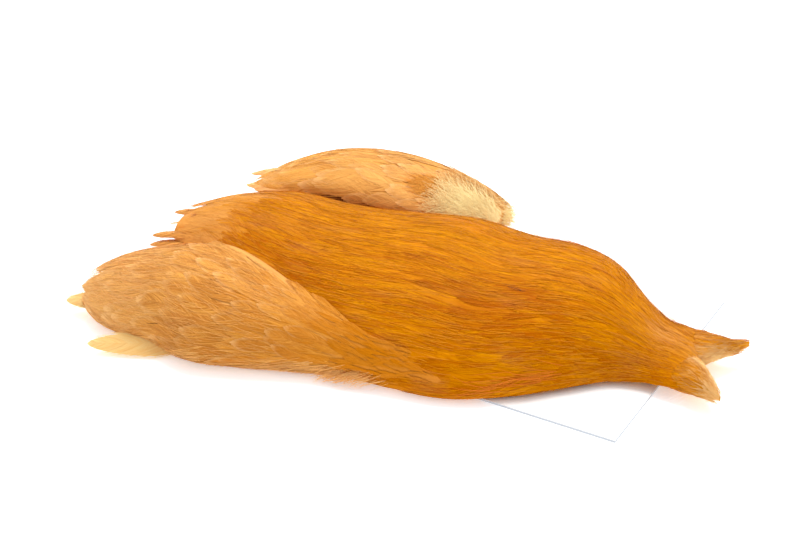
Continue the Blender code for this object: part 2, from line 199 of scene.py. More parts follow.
# The loose feathers that stick out: three points along each shaft.
UNDER_FEATHER = ((-36.0, -45.0, 5.0), (-62.0, -56.6, 3.2), (-87.5, -67.6, 2.6))
TAIL_FEATHER = ((-76.0, -43.0, 8.5), (-92.0, -45.5, 5.6), (-106.0, -49.4, 3.6))
CAPE_TIPS = (
    ((-62.0, -11.0, 13.5), (-80.0, -12.6, 14.6), (-93.5, -13.4, 12.0)),
    ((-62.0, -14.0, 12.0), (-80.0, -15.8, 13.2), (-92.6, -16.9, 10.4)),
    ((-60.0, 1.0, 16.0), (-78.0, 0.6, 16.6), (-92.5, 0.4, 14.0)),
)
FAR_TIPS = (
    ((-50.0, 33.0, 13.5), (-66.0, 31.4, 13.4), (-80.5, 30.2, 11.8)),
    ((-50.0, 39.5, 17.0), (-66.0, 39.8, 15.8), (-82.5, 38.0, 11.8)),
)

# Tufts of single hairs: (name, count, width, where they start and how widely, where they end and
# how widely, how far they rise between, the piece that they grow from).
TUFTS = (
    (
        "hanging_tuft", 700, 0.17, (4.6, -46.2, 5.2), (4.4, 1.4, 1.0),
        (-8.6, -53.8, 2.8), (4.2, 1.6, 0.8), 1.0, "near_shoulder_feathers",
    ),
    (
        "foot_fringe", 260, 0.14, (-37.5, -56.2, 5.0), (2.8, 1.2, 0.9),
        (-47.5, -60.8, 2.4), (2.6, 0.8, 0.5), 0.6, "near_shoulder_feathers",
    ),
    (
        "far_skin_down", 700, 0.16, (20.0, 42.0, 3.0), (4.0, 3.4, 0.2),
        (9.0, 45.0, 3.4), (3.0, 3.6, 0.3), 0.5, "far_shoulder_feathers",
    ),
    (
        "far_end_fluff", 520, 0.16, (4.5, 48.5, 9.0), (1.4, 3.6, 2.4),
        (10.6, 51.5, 8.6), (1.6, 3.0, 2.0), 0.9, "far_shoulder_feathers",
    ),
    (
        "crest_wisps", 30, 0.11, (42.0, 28.6, 16.4), (2.8, 0.5, 0.3),
        (34.5, 29.8, 17.2), (1.8, 0.6, 0.3), 0.1, "cape_feathers",
    ),
    (
        "neck_wisps", 36, 0.12, (80.0, 7.2, 9.4), (1.4, 0.5, 0.4),
        (75.4, 9.0, 11.0), (0.9, 0.6, 0.5), 0.1, "cape_feathers",
    ),
    (
        "white_hairs", 7, 0.10, (95.0, -22.0, 3.6), (1.0, 0.6, 0.6),
        (91.0, -25.4, 1.4), (1.4, 0.8, 0.4), 0.3, "cape_feathers",
    ),
    (
        "dark_hairs", 5, 0.12, (39.5, -18.0, 25.2), (0.8, 0.3, 0.1),
        (33.5, -18.6, 26.0), (0.8, 0.3, 0.2), 0.1, "cape_feathers",
    ),
)
TUFT_SEED = 300

# The camera of the photograph: it looks at LOOK from CAMERA_TURN round from the near side.
LOOK = (-16.8, 20.6, 0.0)
CAMERA_TURN = math.radians(23.0)
CAMERA_RISE = math.radians(31.0)
CAMERA_DISTANCE = 639.6
VIEW_WIDTH_ANGLE = math.radians(24.0)
SENSOR_WIDTH = 36.0

# The stage. Places and sizes are in metres.
FLOOR_SIZE = 8.0
FLOOR_GLOW = 0.36
WORLD_LIGHT = 0.88
LIGHT_PLACE = (-0.14, 0.42, 0.95)
LIGHT_SIZE = 0.6
LIGHT_POWER = 9.5
WHITE = (1.0, 1.0, 1.0, 1.0)


def tone(red, green, blue):
    """A colour as Blender keeps it, from screen values of 0 to 255."""
    screen = np.array((red, green, blue)) / 255.0
    linear = np.where(screen <= 0.04045, screen / 12.92, ((screen + 0.055) / 1.055) ** 2.4)
    return tuple(float(v) for v in linear)


def ease(t):
    """A smooth step from 0 to 1."""
    t = np.clip(t, 0.0, 1.0)
    return t * t * (3.0 - 2.0 * t)


def unit(v):
    """Vectors scaled to length 1 along their last axis."""
    return v / np.maximum(np.linalg.norm(v, axis=-1, keepdims=True), 1e-9)


def curl(x):
    """How far the neck end stands off the surface at x."""
    return CURL_HEIGHT * ease((x - CURL_START_X) / (NECK_TIP_X - CURL_START_X))


class Tract:
    """A bank of feathers as a surface of two parameters: x along it, and a share of the way round.

    The cross-section is a superellipse: the cosine and sine of a turn, each raised to two over the
    fullness, stretched to the half width and to the height above or the depth below the widest
    line. Between stations the sizes follow cubic curves, and past either end they hold still. The
    surface is kept as a table with even steps of x and even steps of length round it, from the
    foot of its far side, share 0, over the crest to the foot of its near side, share 1. Below the
    widest line the feathers hang as a skirt: a quarter of an ellipse that goes in by the tuck, a
    part of the half width, and down to the underside less the drop.
    """

    # The table's step in x and its columns, and the turns that they are worked out from.
    STEP = 0.6
    COLUMNS = 200
    TURNS = 420
    # How far the turn goes on for a skirt, and the surface goes on past its last stations.
    TURN_PAST = 0.5
    PAST_TAIL = 36.0
    PAST_NECK = 4.0
    # The least height of a skirt.
    LEAST_SKIRT = 0.5
    # Where one bank lies over another: how much deeper its root lies and from what x on, how softly
    # it settles, up to what part of the turn it can be hidden, and over how many rows to each side
    # the line where it shows is smoothed.
    SINK_AT_ROOT = 3.8
    SINK_FROM_X = 6.0
    SINK_RUN = 18.0
    SETTLING = 2.0
    HIDDEN_TO = 0.6
    BLUR = 11
    # The most that the flow goes sideways, and a height far below the floor.
    MOST_DRIFT = 0.8
    NOWHERE = -50.0

    def __init__(self, stations, fullness, lean, drop, tuck, over=None, over_gap=0.0):
        table = np.array(stations)[::-1]
        self.x, self.sizes = table[:, 0], table[:, 1:]
        number = np.arange(len(self.x))
        ahead, behind = np.minimum(number + 1, number[-1]), np.maximum(number - 1, 0)
        run = (self.x[ahead] - self.x[behind])[:, None]
        self.slopes = (self.sizes[ahead] - self.sizes[behind]) / run
        self.fullness, self.lean = fullness, lean
        self.first = self.x[0] - self.PAST_TAIL
        x = np.arange(self.first, self.x[-1] + self.PAST_NECK, self.STEP)[:, None]
        turn = np.linspace(-self.TURN_PAST, math.pi + self.TURN_PAST, self.TURNS)[None, :]
        points = self.skirted(x, turn, drop, tuck)
        covered = self.lie_over(over, over_gap, x, turn, points) if over else np.zeros(len(x))
        self.tabulate(points, covered.astype(int))

    def skirted(self, x, turn, drop, tuck):
        """The surface and its two skirts, at x and turn."""
        points, rim = self.point(x, turn), self.point(x, np.where(turn < 0, 0.0, math.pi))
        near, far, _, _, under = self.section(x)
        edge, low = rim[..., 2], np.minimum(under - drop, rim[..., 2] - self.LEAST_SKIRT)
        past = np.maximum(-turn, turn - math.pi) / self.TURN_PAST * math.pi / 2
        outward = np.where(turn < 0, 1.0, -1.0)
        tucked = rim[..., 1] - outward * tuck * (far - near) / 2 * (1.0 - np.cos(past))
        points[..., 1] = np.where(past > 0, tucked, points[..., 1])
        points[..., 2] = np.where(past > 0, edge - (edge - low) * np.sin(past), points[..., 2])
        return points

    def lie_over(self, other, gap, x, turn, points):
        """Lifts the points that another bank would cover, and says how many of each row it hides.

        The lift is half of the shortfall and of the root of its square plus the settling squared.
        """
        gap = gap - self.SINK_AT_ROOT * ease((x - self.SINK_FROM_X) / self.SINK_RUN)
        short = other.height(points[..., 0], points[..., 1]) + gap - points[..., 2]
        lying = ease((turn + 0.3) / 0.5) * ease((0.75 * math.pi - turn) / 0.6)
        points[..., 2] += 0.5 * (short + np.hypot(short, self.SETTLING)) * lying
        hidden = (short > 0) & (turn < self.HIDDEN_TO * math.pi)
        last = self.TURNS - hidden[:, ::-1].argmax(axis=1)
        return np.minimum(np.where(hidden.any(axis=1), last, 0), self.TURNS - 1)

    def tabulate(self, points, covered):
        """Keeps the surface as an even table, with the way out and the flow at each entry.

        The flow is how fast a feather moves per millimetre of x, and how much of that is sideways.
        """
        steps = np.linalg.norm(np.diff(points, axis=1), axis=-1)
        arc = np.concatenate([np.zeros((len(points), 1)), steps.cumsum(axis=1)], axis=1)
        share = arc / arc[:, -1:]
        self.length = arc[:, -1]
        clear = np.take_along_axis(share, covered[:, None], axis=1)[:, 0]
        window = np.ones(2 * self.BLUR + 1) / (2 * self.BLUR + 1)
        self.clear = np.convolve(np.pad(clear, self.BLUR, mode="edge"), window, mode="valid")
        row = 2.0 * np.arange(len(points))[:, None]
        wanted, known = (np.linspace(0.0, 1.0, self.COLUMNS) + row).ravel(), (share + row).ravel()
        columns = [np.interp(wanted, known, points[..., k].ravel()) for k in range(3)]
        self.grid = np.stack(columns, axis=-1).reshape(len(points), self.COLUMNS, 3)
        back = -np.gradient(self.grid, axis=0) / self.STEP
        side = unit(np.gradient(self.grid, axis=1))
        self.out = unit(np.cross(back, side))
        drift = (back * side).sum(axis=-1)
        stretch = np.maximum(np.linalg.norm(back, axis=-1), 1.0)
        drift = np.clip(drift / stretch, -self.MOST_DRIFT, self.MOST_DRIFT)
        self.flow = np.stack([stretch, drift], axis=-1)

    def section(self, x):
        """The five sizes of the cross-section at x, each an array like x."""
        k = np.clip(np.searchsorted(self.x, x, side="right") - 1, 0, len(self.x) - 2)
        span = (self.x[k + 1] - self.x[k])[..., None]
        t = np.clip((x - self.x[k])[..., None] / span, 0.0, 1.0)
        sizes = (
            (2 * t**3 - 3 * t**2 + 1) * self.sizes[k]
            + (t**3 - 2 * t**2 + t) * span * self.slopes[k]
            + (3 * t**2 - 2 * t**3) * self.sizes[k + 1]
            + (t**3 - t**2) * span * self.slopes[k + 1]
        )
        sizes[..., 2:] += curl(x)[..., None]
        return np.moveaxis(sizes, -1, 0)

    def height(self, x, y):
        """How high the surface stands at x and y, and far below the floor outside the bank."""
        near, far, edge, top, _ = self.section(x)
        middle, half = (near + far) / 2, (far - near) / 2
        up = np.ones(np.shape(x))
        for _ in range(3):
            across = np.clip((y - middle) / half - self.lean * up, -1.0, 1.0)
            power = np.where(across < 0, *self.fullness)
            up = (1.0 - np.abs(across) ** power) ** (1.0 / power)
        return np.where(np.abs(across) < 1.0, edge + (top - edge) * up, self.NOWHERE)

    def point(self, x, turn):
        """The bank's own surface at x and turn: 0 is the far edge and pi the near one."""
        near, far, edge, top, under = self.section(x)
        across, up = np.cos(turn), np.sin(turn)
        power = 2.0 / np.where(across < 0, *self.fullness)
        flat_across = np.sign(across) * np.abs(across) ** power
        flat_up = np.sign(up) * np.abs(up) ** power
        rise = np.where(up > 0, top - edge, edge - under)
        y = (near + far) / 2 + (far - near) / 2 * (flat_across + self.lean * np.maximum(flat_up, 0))
        return np.stack(np.broadcast_arrays(x, y, edge + rise * flat_up), axis=-1)

    def read(self, x, share, *tables):
        """Values of tables of the surface at x and share, straight between their entries."""
        r = (x - self.first) / self.STEP
        c = share * (self.COLUMNS - 1)
        i = np.clip(np.floor(r), 0, len(self.length) - 2).astype(int)
        j = np.clip(np.floor(c), 0, self.COLUMNS - 2).astype(int)
        r = (np.clip(r, -20, len(self.length) + 20) - i)[..., None]
        c = (np.clip(c, -0.2 * self.COLUMNS, 1.2 * self.COLUMNS) - j)[..., None]

        def across(table, row):
            return table[row, j] * (1 - c) + table[row, j + 1] * c

        return [across(table, i) * (1 - r) + across(table, i + 1) * r for table in tables]

    def length_at(self, x):
        """How long the way round is at x."""
        return np.interp(x, self.first + self.STEP * np.arange(len(self.length)), self.length)

    def clear_at(self, x):
        """The share from which the bank shows beside the one that it lies against."""
        return np.interp(x, self.first + self.STEP * np.arange(len(self.clear)), self.clear)

    def inside(self, points, part):
        """Which points are within a part of the bank's half width and height."""
        x, y, z = np.moveaxis(points, -1, 0)
        near, far, edge, top, under = self.section(x)
        across = (y - (near + far) / 2) / ((far - near) / 2)
        up = (z - edge) / np.where(z > edge, top - edge, edge - under)
        return (x < self.x[-1]) & (x > self.x[0]) & (across**2 + up**2 < part**2)


def point_tract(side, stations, drop):
    """The bank of one neck point, on the near side for -1 and the far side for +1."""
    stations = [
        (x, *sorted((AXIS_Y + side * inner, AXIS_Y + side * outer)), *heights)
        for x, inner, outer, *heights in stations
    ]
    return Tract(stations, SHOULDER_FULLNESS, lean=0.0, drop=drop, tuck=0.15)


CAPE = Tract(
    [(x, AXIS_Y + near, AXIS_Y + far, *heights) for x, near, far, *heights in CAPE_STATIONS],
    CAPE_FULLNESS, lean=0.06, drop=1.6, tuck=0.03,
)
NEAR = Tract(
    NEAR_STATIONS, SHOULDER_FULLNESS, lean=0.10, drop=2.2, tuck=0.36, over=CAPE, over_gap=0.8
)
FAR = Tract(FAR_STATIONS, SHOULDER_FULLNESS, lean=0.05, drop=0.5, tuck=0.3)
CLEFT_SHADOW_BANK = Tract(CLEFT_SHADOW_STATIONS, SHOULDER_FULLNESS, lean=0.0, drop=0.4, tuck=0.1)
NEAR_POINT = point_tract(-1, NEAR_POINT_STATIONS, drop=1.0)
FAR_POINT = point_tract(1, FAR_POINT_STATIONS, drop=0.5)


def per_feather(roots, *names):
    """Values of the roots by name, shaped so that each holds for all points of its own feather."""
    return [roots[name][:, None, None] for name in names]


def on_tract(tract, roots):
    """How feathers with these roots lie on a tract, as a function of places on the flat feather.

    a is the way back along the feather and b the way to its near side, and both are turned by its
    yaw. The feather follows the bank's own flow: its middle keeps to one share of the way round,
    and is bent aside by its swing with the square of a. b is measured square to the flow.
    """
    x, share, yaw, swing, length = per_feather(roots, "x", "share", "yaw", "swing", "length")

    def lay(a, b, height):
        along = a * np.cos(yaw) - b * np.sin(yaw)
        aside = a * np.sin(yaw) + b * np.cos(yaw) + swing * (a / length) ** 2
        flow, = tract.read(x - 0.5 * along, share, tract.flow)
        stretch, drift = flow[..., 0], flow[..., 1]
        level = np.sqrt(1.0 - drift**2)
        at_x = x - along / stretch + aside * drift / (stretch * level)
        around = np.maximum(tract.length_at(at_x), 0.55 * tract.length_at(x))
        here, out = tract.read(at_x, share + aside / (level * around), tract.grid, tract.out)
        out = unit(out)
        return here + out * height[..., None], out

    return lay


def on_path(path, tilt, length):
    """How one loose feather lies along a bent path through three points, tilted about its shaft."""
    start, middle, end = (np.array(p) for p in path)
    bend = 2 * middle - (start + end) / 2

    def lay(a, b, height):
        t = (a / length)[..., None]
        here = (1 - t) ** 2 * start + 2 * t * (1 - t) * bend + t**2 * end
        back = unit(2 * (1 - t) * (bend - start) + 2 * t * (end - bend))
        side = unit(np.cross((0.0, 0.0, 1.0), back))
        out = np.cross(back, side)
        tilted = side * math.cos(tilt) + out * math.sin(tilt)
        out = out * math.cos(tilt) - side * math.sin(tilt)
        return here + tilted * b[..., None] + out * height[..., None], out

    return lay


def off_floor(points):
    """Points that would be in the floor or in the card lie on it instead, with a smooth change.

    The height is the lowest one allowed, plus the natural logarithm of one plus e to the height
    above that, both in landings.
    """
    x, y = points[..., 0] - CARD_CORNER[0], points[..., 1] - CARD_CORNER[1]
    along = x * math.cos(CARD_TURN) + y * math.sin(CARD_TURN) + CARD_LENGTH
    across = y * math.cos(CARD_TURN) - x * math.sin(CARD_TURN)
    on_card = (along > -CARD_MARGIN) & (along < CARD_LENGTH + CARD_MARGIN)
    on_card &= (across > -CARD_MARGIN) & (across < CARD_WIDTH + CARD_MARGIN)
    low = np.where(on_card, CARD_THICKNESS + CLEARANCE, CLEARANCE)
    points[..., 2] = low + LANDING * np.logaddexp(0.0, (points[..., 2] - low) / LANDING)
    return points


def grid_faces(rows, columns, closed=False):
    """The corner numbers of a grid of quads with so many rows and columns of points."""
    r = np.arange(rows - 1)[:, None]
    c = np.arange(columns if closed else columns - 1)[None, :]
    d = (c + 1) % columns
    corners = [r * columns + c, r * columns + d, (r + 1) * columns + d, (r + 1) * columns + c]
    return np.stack(np.broadcast_arrays(*corners), axis=-1).reshape(-1, 4)


def repeat_faces(faces, copies, points_each):
    """The same faces for each of many equal pieces whose points follow one another."""
    first = np.arange(copies) * points_each
    return (faces[None] + first[:, None, None]).reshape(-1, faces.shape[-1])


class Sheaf:
    """Points, quads and masks of many small surfaces that become one mesh."""

    MASKS = ("shade", "fade", "stain", "line", "reach", "plume")

    def __init__(self):
        self.points, self.faces, self.count = [], [], 0
        self.masks = {name: [] for name in self.MASKS}

    def add(self, points, faces, **masks):
        """Adds surfaces. Each mask is like the points without their last axis, or spreads to it."""
        shape = points.shape[:-1]
        self.points.append(points.reshape(-1, 3))
        self.faces.append(faces + self.count)
        self.count += len(self.points[-1])
        for name in self.MASKS:
            self.masks[name].append(np.broadcast_to(masks.get(name, 0.0), shape).ravel())

    def ribbons(self, path, out, width, roll, **masks):
        """Adds flat ribbons along many paths, facing out and turned by roll round their path."""
        along = unit(np.gradient(path, axis=-2))
        side = unit(np.cross(along, out))
        turn = roll[..., None, None]
        wide = side * np.cos(turn) + np.cross(side, along) * np.sin(turn)
        wide = wide * (width[..., None] / 2)
        points = np.stack([path - wide, path + wide], axis=-2)
        steps = path.shape[-2]
        faces = repeat_faces(grid_faces(steps, 2), math.prod(path.shape[:-2]), steps * 2)
        masks = {name: np.asarray(value)[..., None] for name, value in masks.items()}
        self.add(points, faces, **masks)

    def mesh(self, name, material, slot):
        """The finished piece."""
        points, faces = off_floor(np.concatenate(self.points)), np.concatenate(self.faces)
        masks = {mask: np.concatenate(values) for mask, values in self.masks.items()}
        return mesh_piece(name, points, [faces], masks, material)


def mesh_piece(name, points, face_sets, masks, material):
    """A mesh object from points in millimetres, arrays of faces, and named masks of the points.

    The points are moved to the frame's own place and size. Masks are kept as attributes for the
    materials to read, and line, reach and plume go together as one vector, barb.
    """
    mesh = bpy.data.meshes.new(name)
    mesh.vertices.add(len(points))
    mesh.vertices.foreach_set("co", ((points + np.array(WHOLE_SHIFT)) * MM).ravel())
    corners = np.concatenate([faces.ravel() for faces in face_sets])
    totals = np.concatenate([np.full(len(faces), faces.shape[1]) for faces in face_sets])
    mesh.loops.add(len(corners))
    mesh.loops.foreach_set("vertex_index", corners)
    mesh.polygons.add(len(totals))
    mesh.polygons.foreach_set("loop_start", np.concatenate([[0], totals.cumsum()[:-1]]))
    mesh.update(calc_edges=True)
    mesh.polygons.foreach_set("use_smooth", np.ones(len(totals), dtype=bool))
    for mask in ("shade", "fade", "stain"):
        layer = mesh.attributes.new(mask, "FLOAT", "POINT")
        layer.data.foreach_set("value", masks[mask].astype(np.float32))
    layer = mesh.attributes.new("barb", "FLOAT_VECTOR", "POINT")
    barb = np.stack([masks["line"], masks["reach"], masks["plume"]], axis=-1)
    layer.data.foreach_set("vector", barb.astype(np.float32).ravel())
    mesh.materials.append(material)
    mesh.update()
    thing = bpy.data.objects.new(name, mesh)
    bpy.context.scene.collection.objects.link(thing)
    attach(thing, "root")
    return thing


@dataclass
class Make:
    """How one kind of feather is made. Lengths are in millimetres, and angle is in degrees.

    Barbs grow from start to the tip, so many on each side, each in so many steps and width wide.
    Start and full_to are parts of the feather's length.
    They leave the shaft at the angle, bend forwards by the bow, turn about themselves by up to the
    roll, and stick together in clumps as far as gather says. Ruffle moves them up or down, and
    ragged makes their ends uneven. Sink, lift and camber give the feather's height at its root, at
    its tip and across. Full_to and taper give the outline. Rim is how much paler its edge is,
    root_shade how much darker its root, and contrast how far barbs differ. Vane_part is the vane's
    width as a part of the barbs', with 0 for none, and shaft the width of the shaft.
    """

    start: float = 0.45
    barbs: int = 24
    steps: int = 4
    angle: float = 13.0
    bow: float = 0.25
    width: float = 0.30
    roll: float = 0.35
    sink: float = 1.0
    lift: float = 0.5
    camber: float = 0.3
    clump: int = 5
    gather: float = 0.25
    ruffle: float = 0.05
    full_to: float = 0.55
    taper: float = 0.75
    ragged: float = 0.12
    rim: float = 0.0
    root_shade: float = 0.0
    vane_part: float = 0.9
    shaft: float = 0.30
    contrast: float = 0.12

    def outline(self, t):
        """Half the vane's width as a part of its greatest: full, then a power of a circle's."""
        u = np.clip((t - self.full_to) / (1.0 - self.full_to), 0.0, 1.0)
        return (1.0 - u**2) ** self.taper

    def barb_end(self, t, slant):
        """Where the barb that leaves the shaft at t ends: on by its length times the slant."""
        ends = np.linspace(0.0, 1.0, 400)
        return np.interp(t, ends - slant * self.outline(ends), ends)


# The first barb is shorter, and the barbs reach their full length a little further on. The vane
# lies a little below the barbs and is painted darker, as shade falls between them, and the shaft
# lies above them and is lighter. Hairs read the dye's fine streaks at one line.
FIRST_BARB = 0.25
BARBS_GROW_OVER = 0.28
LAST_BARB_AT = 0.985
VANE_ROWS = 11
VANE_LINES = np.array((-1.0, -0.66, -0.33, 0.0, 0.33, 0.66, 1.0))
VANE_BELOW = 0.1
VANE_PAINTED_SHADE = -0.04
SHAFT_STEPS = 7
SHAFT_ABOVE = 0.06
SHAFT_LIGHTER = 0.12
BARB_ABOVE = 0.02
HAIR_ABOVE = 0.2
HAIR_LINE = 7.0


def add_feathers(sheaf, lay, make, roots, rng):
    """Adds the vanes, shafts and barbs of all feathers with the given roots to a sheaf.

    t goes from 0 at a feather's root to 1 at its tip. A barb leaves the shaft at t and runs
    outwards and forwards to the vane's outline in a bow, s being 0 at the shaft and 1 or -1 there.
    The vane is the surface that the barbs sweep. Its height over the bank is sunk at the root,
    rises towards the tip, and falls off sideways with the square of the distance from the shaft.
    """
    count = len(roots["x"])
    length, half, lift = per_feather(roots, "length", "half", "lift")
    shade, fade, stain = per_feather(roots, "shade", "fade", "stain")
    plume = np.arange(count)[:, None, None] + rng.uniform(0, 1000)
    slant = float(np.median(half / length)) / math.tan(math.radians(make.angle))

    def barb(t, s, reach_part=1.0, gather=0.0):
        end = make.barb_end(t, slant)
        grown = ease((t - make.start) / BARBS_GROW_OVER)
        reach_part = reach_part * (FIRST_BARB + (1.0 - FIRST_BARB) * grown)
        reach = half * make.outline(end) * reach_part
        forward = (end - t) * length * reach_part
        u = np.abs(s)
        a = length * (t + gather * u**1.5) + forward * u ** (1.0 + 0.5 * make.bow)
        b = np.sign(s) * reach * (1.0 - (1.0 - u) ** (1.0 + make.bow))
        t = np.clip(a / length, 0.0, 1.2)
        height = make.lift * lift * t**1.5 - make.sink * (1.0 - t)
        return a, b, height + make.camber * (1.0 - np.minimum((b / half) ** 2, 1.5))

    def looks(a, b, lighter):
        across = np.abs(b) / (half * np.maximum(make.outline(a / length), 0.05))
        rim = np.maximum(ease((a / length - 0.86) / 0.14), ease((across - 0.6) / 0.4))
        darker = make.root_shade * (1.0 - np.clip(a / length, 0.0, 1.0))
        paler = make.rim * lift * rim
        return {
            "shade": shade + lighter - darker, "fade": paler + fade, "stain": stain, "plume": plume
        }

    if make.vane_part:
        columns = len(VANE_LINES)
        t = np.linspace(make.start, 1.0, VANE_ROWS)[None, :, None]
        a, b, height = barb(t, VANE_LINES, make.vane_part)
        points, _ = lay(a, b, height - VANE_BELOW)
        faces = repeat_faces(grid_faces(VANE_ROWS, columns), count, VANE_ROWS * columns)[:, ::-1]
        sheaf.add(points, faces, line=t * make.barbs, reach=VANE_LINES, **looks(a, b, VANE_PAINTED_SHADE))

    t = np.linspace(make.start * 0.9, 0.99, SHAFT_STEPS)
    a, b, height = barb(t, np.zeros((count, 1, SHAFT_STEPS)))
    path, out = lay(a, b, height + SHAFT_ABOVE)
    masks = looks(a, b, 0.0)
    masks["shade"] = shade + SHAFT_LIGHTER
    sheaf.ribbons(path, out, make.shaft * (1.1 - t), np.zeros((count, 1)), **masks)

    n = make.barbs
    step = (LAST_BARB_AT - make.start) / n
    order = np.tile(np.arange(n), 2)[None, :]
    t = make.start + step * (order + rng.uniform(0.0, 1.0, (count, 2 * n)))
    offset = rng.integers(0, make.clump, (count, 1))
    middle = (np.floor((order + offset) / make.clump) + 0.5) * make.clump - offset
    gather = (middle - order) * step * make.gather
    reach = rng.uniform(1.0 - make.ragged, 1.0 + 0.8 * make.ragged, t.shape)
    s = np.repeat([-1.0, 1.0], n)[None, :, None] * np.linspace(0.0, 1.0, make.steps)
    t = t[..., None]
    a, b, height = barb(t, s, reach[..., None], gather[..., None])
    ruffle = rng.normal(0.0, make.ruffle, reach.shape)[..., None]
    path, out = lay(a, b, height + ruffle * np.abs(s) + BARB_ABOVE)
    width = make.width * (1.0 - 0.7 * s**2)
    roll = rng.uniform(-make.roll, make.roll, reach.shape)
    contrast = rng.normal(0.0, make.contrast, reach.shape)[..., None]
    sheaf.ribbons(path, out, width, roll, line=t * n, reach=s, **looks(a, b, contrast))


def add_hairs(sheaf, lay, roots, rise, width, rng, steps=7, roll=0.6):
    """Adds single hairs: each runs back along its own line, and has its full rise at the tip."""
    t = np.linspace(0.0, 1.0, steps)[None, None, :]
    length, lift = per_feather(roots, "length", "lift")
    shade, fade, stain = per_feather(roots, "shade", "fade", "stain")
    a = length * t
    path, out = lay(a, 0 * a, HAIR_ABOVE + rise * lift * t**1.6)
    count = len(length)
    sheaf.ribbons(
        path, out, width * (1.0 - 0.6 * t), rng.uniform(-roll, roll, (count, 1)), shade=shade,
        fade=fade, stain=stain, line=HAIR_LINE, plume=np.arange(count)[:, None, None],
    )


def add_tuft(sheaf, count, width, start, start_spread, end, end_spread, rise, rng):
    """Adds hairs from one place to another, each keeping to its own side.

    Each is a parabola from its start to its end, with a middle point that is raised by the rise.
    """
    side = rng.normal(0.0, 1.0, (count, 3))
    first = np.array(start) + side * start_spread
    last = np.array(end) + (0.6 * side + 0.8 * rng.normal(0.0, 1.0, (count, 3))) * end_spread
    middle = (first + last) / 2 + rng.normal(0.0, 0.6, (count, 3)) + (0.0, 0.0, 2.0 * rise)
    first, middle, last = (place[:, None, None] for place in (first, middle, last))
    t = np.linspace(0.0, 1.0, 8)
    u = t[:, None]
    path = (1 - u) ** 2 * first + 2 * u * (1 - u) * middle + u**2 * last
    out = np.broadcast_to((0.3, -0.6, 0.74), path.shape)
    sheaf.ribbons(
        path, out, width * (1.0 - 0.6 * t), rng.uniform(-1.0, 1.0, (count, 1)),
        shade=rng.normal(0.62, 0.25, (count, 1, 1)), fade=rng.uniform(0.4, 1.0, (count, 1, 1)),
        line=HAIR_LINE,
    )


def feather_piece(name, tract, make, roots, rng, material, slot):
    """A piece of feathers that lie on one tract."""
    sheaf = Sheaf()
    add_feathers(sheaf, on_tract(tract, roots), make, roots, rng)
    return sheaf.mesh(name, material, slot)


def hair_piece(name, tract, roots, rng, material, slot, **hair):
    """A piece of single hairs that lie on one tract."""
    sheaf = Sheaf()
    add_hairs(sheaf, on_tract(tract, roots), roots, rng=rng, **hair)
    return sheaf.mesh(name, material, slot)


def value_at(size, x):
    """A size that is either a number or a function of x."""
    return size(x) if callable(size) else size


def rows_of_roots(tract, first_x, last_x, pitch, spacing, low, high, rng):
    """Staggered roots over a tract, in rows from first_x back to last_x.

    Pitch is the distance to the next row, and spacing that along the row, which runs from the share
    low to the share high. Each is a number or a function of x. Every root is moved a little at
    random.
    """
    xs, shares = [], []
    x, row = first_x, 0
    while x > last_x:
        step, gap, start, end = (value_at(size, x) for size in (pitch, spacing, low, high))
        count = max(2, round((end - start) / (gap / tract.length_at(x))))
        gap = (end - start) / count
        line = start + gap * (np.arange(count + row % 2) + 0.5 * ((row + 1) % 2))
        shares.append(line + rng.uniform(-0.3, 0.3, len(line)) * gap)
        xs.append(x + rng.uniform(-0.5, 0.5, len(line)) * step)
        x -= step
        row += 1
    return np.concatenate(xs), np.concatenate(shares)


def make_roots(x, share, rng, length, yaw, swing, mottle, half=1.0):
    """Feather roots at x and share, with sizes that vary by a tenth.

    Yaw is in radians, swing in millimetres, and mottle is how far shades differ. A shade of 0.5 is
    halfway between the deep and the bright colour.
    """
    n = len(x)
    return {
        "x": x,
        "share": share,
        "length": length * rng.uniform(0.9, 1.1, n),
        "half": half * rng.uniform(0.88, 1.12, n),
        "yaw": rng.normal(0.0, yaw, n),
        "swing": rng.normal(0.0, swing, n),
        "lift": rng.uniform(0.5, 1.5, n),
        "shade": 0.5 + rng.normal(0.0, mottle, n),
        "fade": np.zeros(n),
        "stain": np.zeros(n),
    }


# Feathers turn by no more than this slope along an edge, and near the tail not at all. A feather
# isn't cut shorter than a part of its length.
MOST_SLOPE = 0.4
EDGE_TURNS_FROM_X = -84.0
EDGE_TURNS_RUN = 14.0
LEAST_LENGTH = 0.4


def along_clear_edge(tract, roots, reach):
    """Turns feathers within a share of the edge that shows, so that they run along that edge."""
    x, share, length = roots["x"], roots["share"], roots["length"]
    slope = (tract.clear_at(x) - tract.clear_at(x - length)) / length
    slope = slope * tract.length_at(x - 0.8 * length)
    slope = np.clip(slope, -MOST_SLOPE, MOST_SLOPE)
    slope = slope * ease((x - EDGE_TURNS_FROM_X) / EDGE_TURNS_RUN)
    roots["yaw"] -= np.arctan(slope) * ease(1.0 - (share - tract.clear_at(x)) / reach)


def end_at_tips(roots, shares, ends, rng):
    """Shortens feathers that would pass the tail's own outline, given as x at some shares."""
    room = roots["x"] - np.interp(roots["share"], shares, ends)
    room = room * rng.uniform(0.9, 1.0, len(room))
    left = np.clip(room / roots["length"], LEAST_LENGTH, 1.0)
    roots["length"] = roots["length"] * left
    roots["half"] = roots["half"] * left**0.5


def pick(roots, keep):
    """The roots that a mask keeps."""
    return {name: values[keep] for name, values in roots.items()}


def soft_patches(x, share, patches):
    """The sum of soft patches, each its strength times e to less its squared distances."""
    return sum(
        strength * np.exp(-(((x - mid_x) / reach_x) ** 2) - ((share - middle) / reach) ** 2)
        for mid_x, middle, reach_x, reach, strength in patches
    )


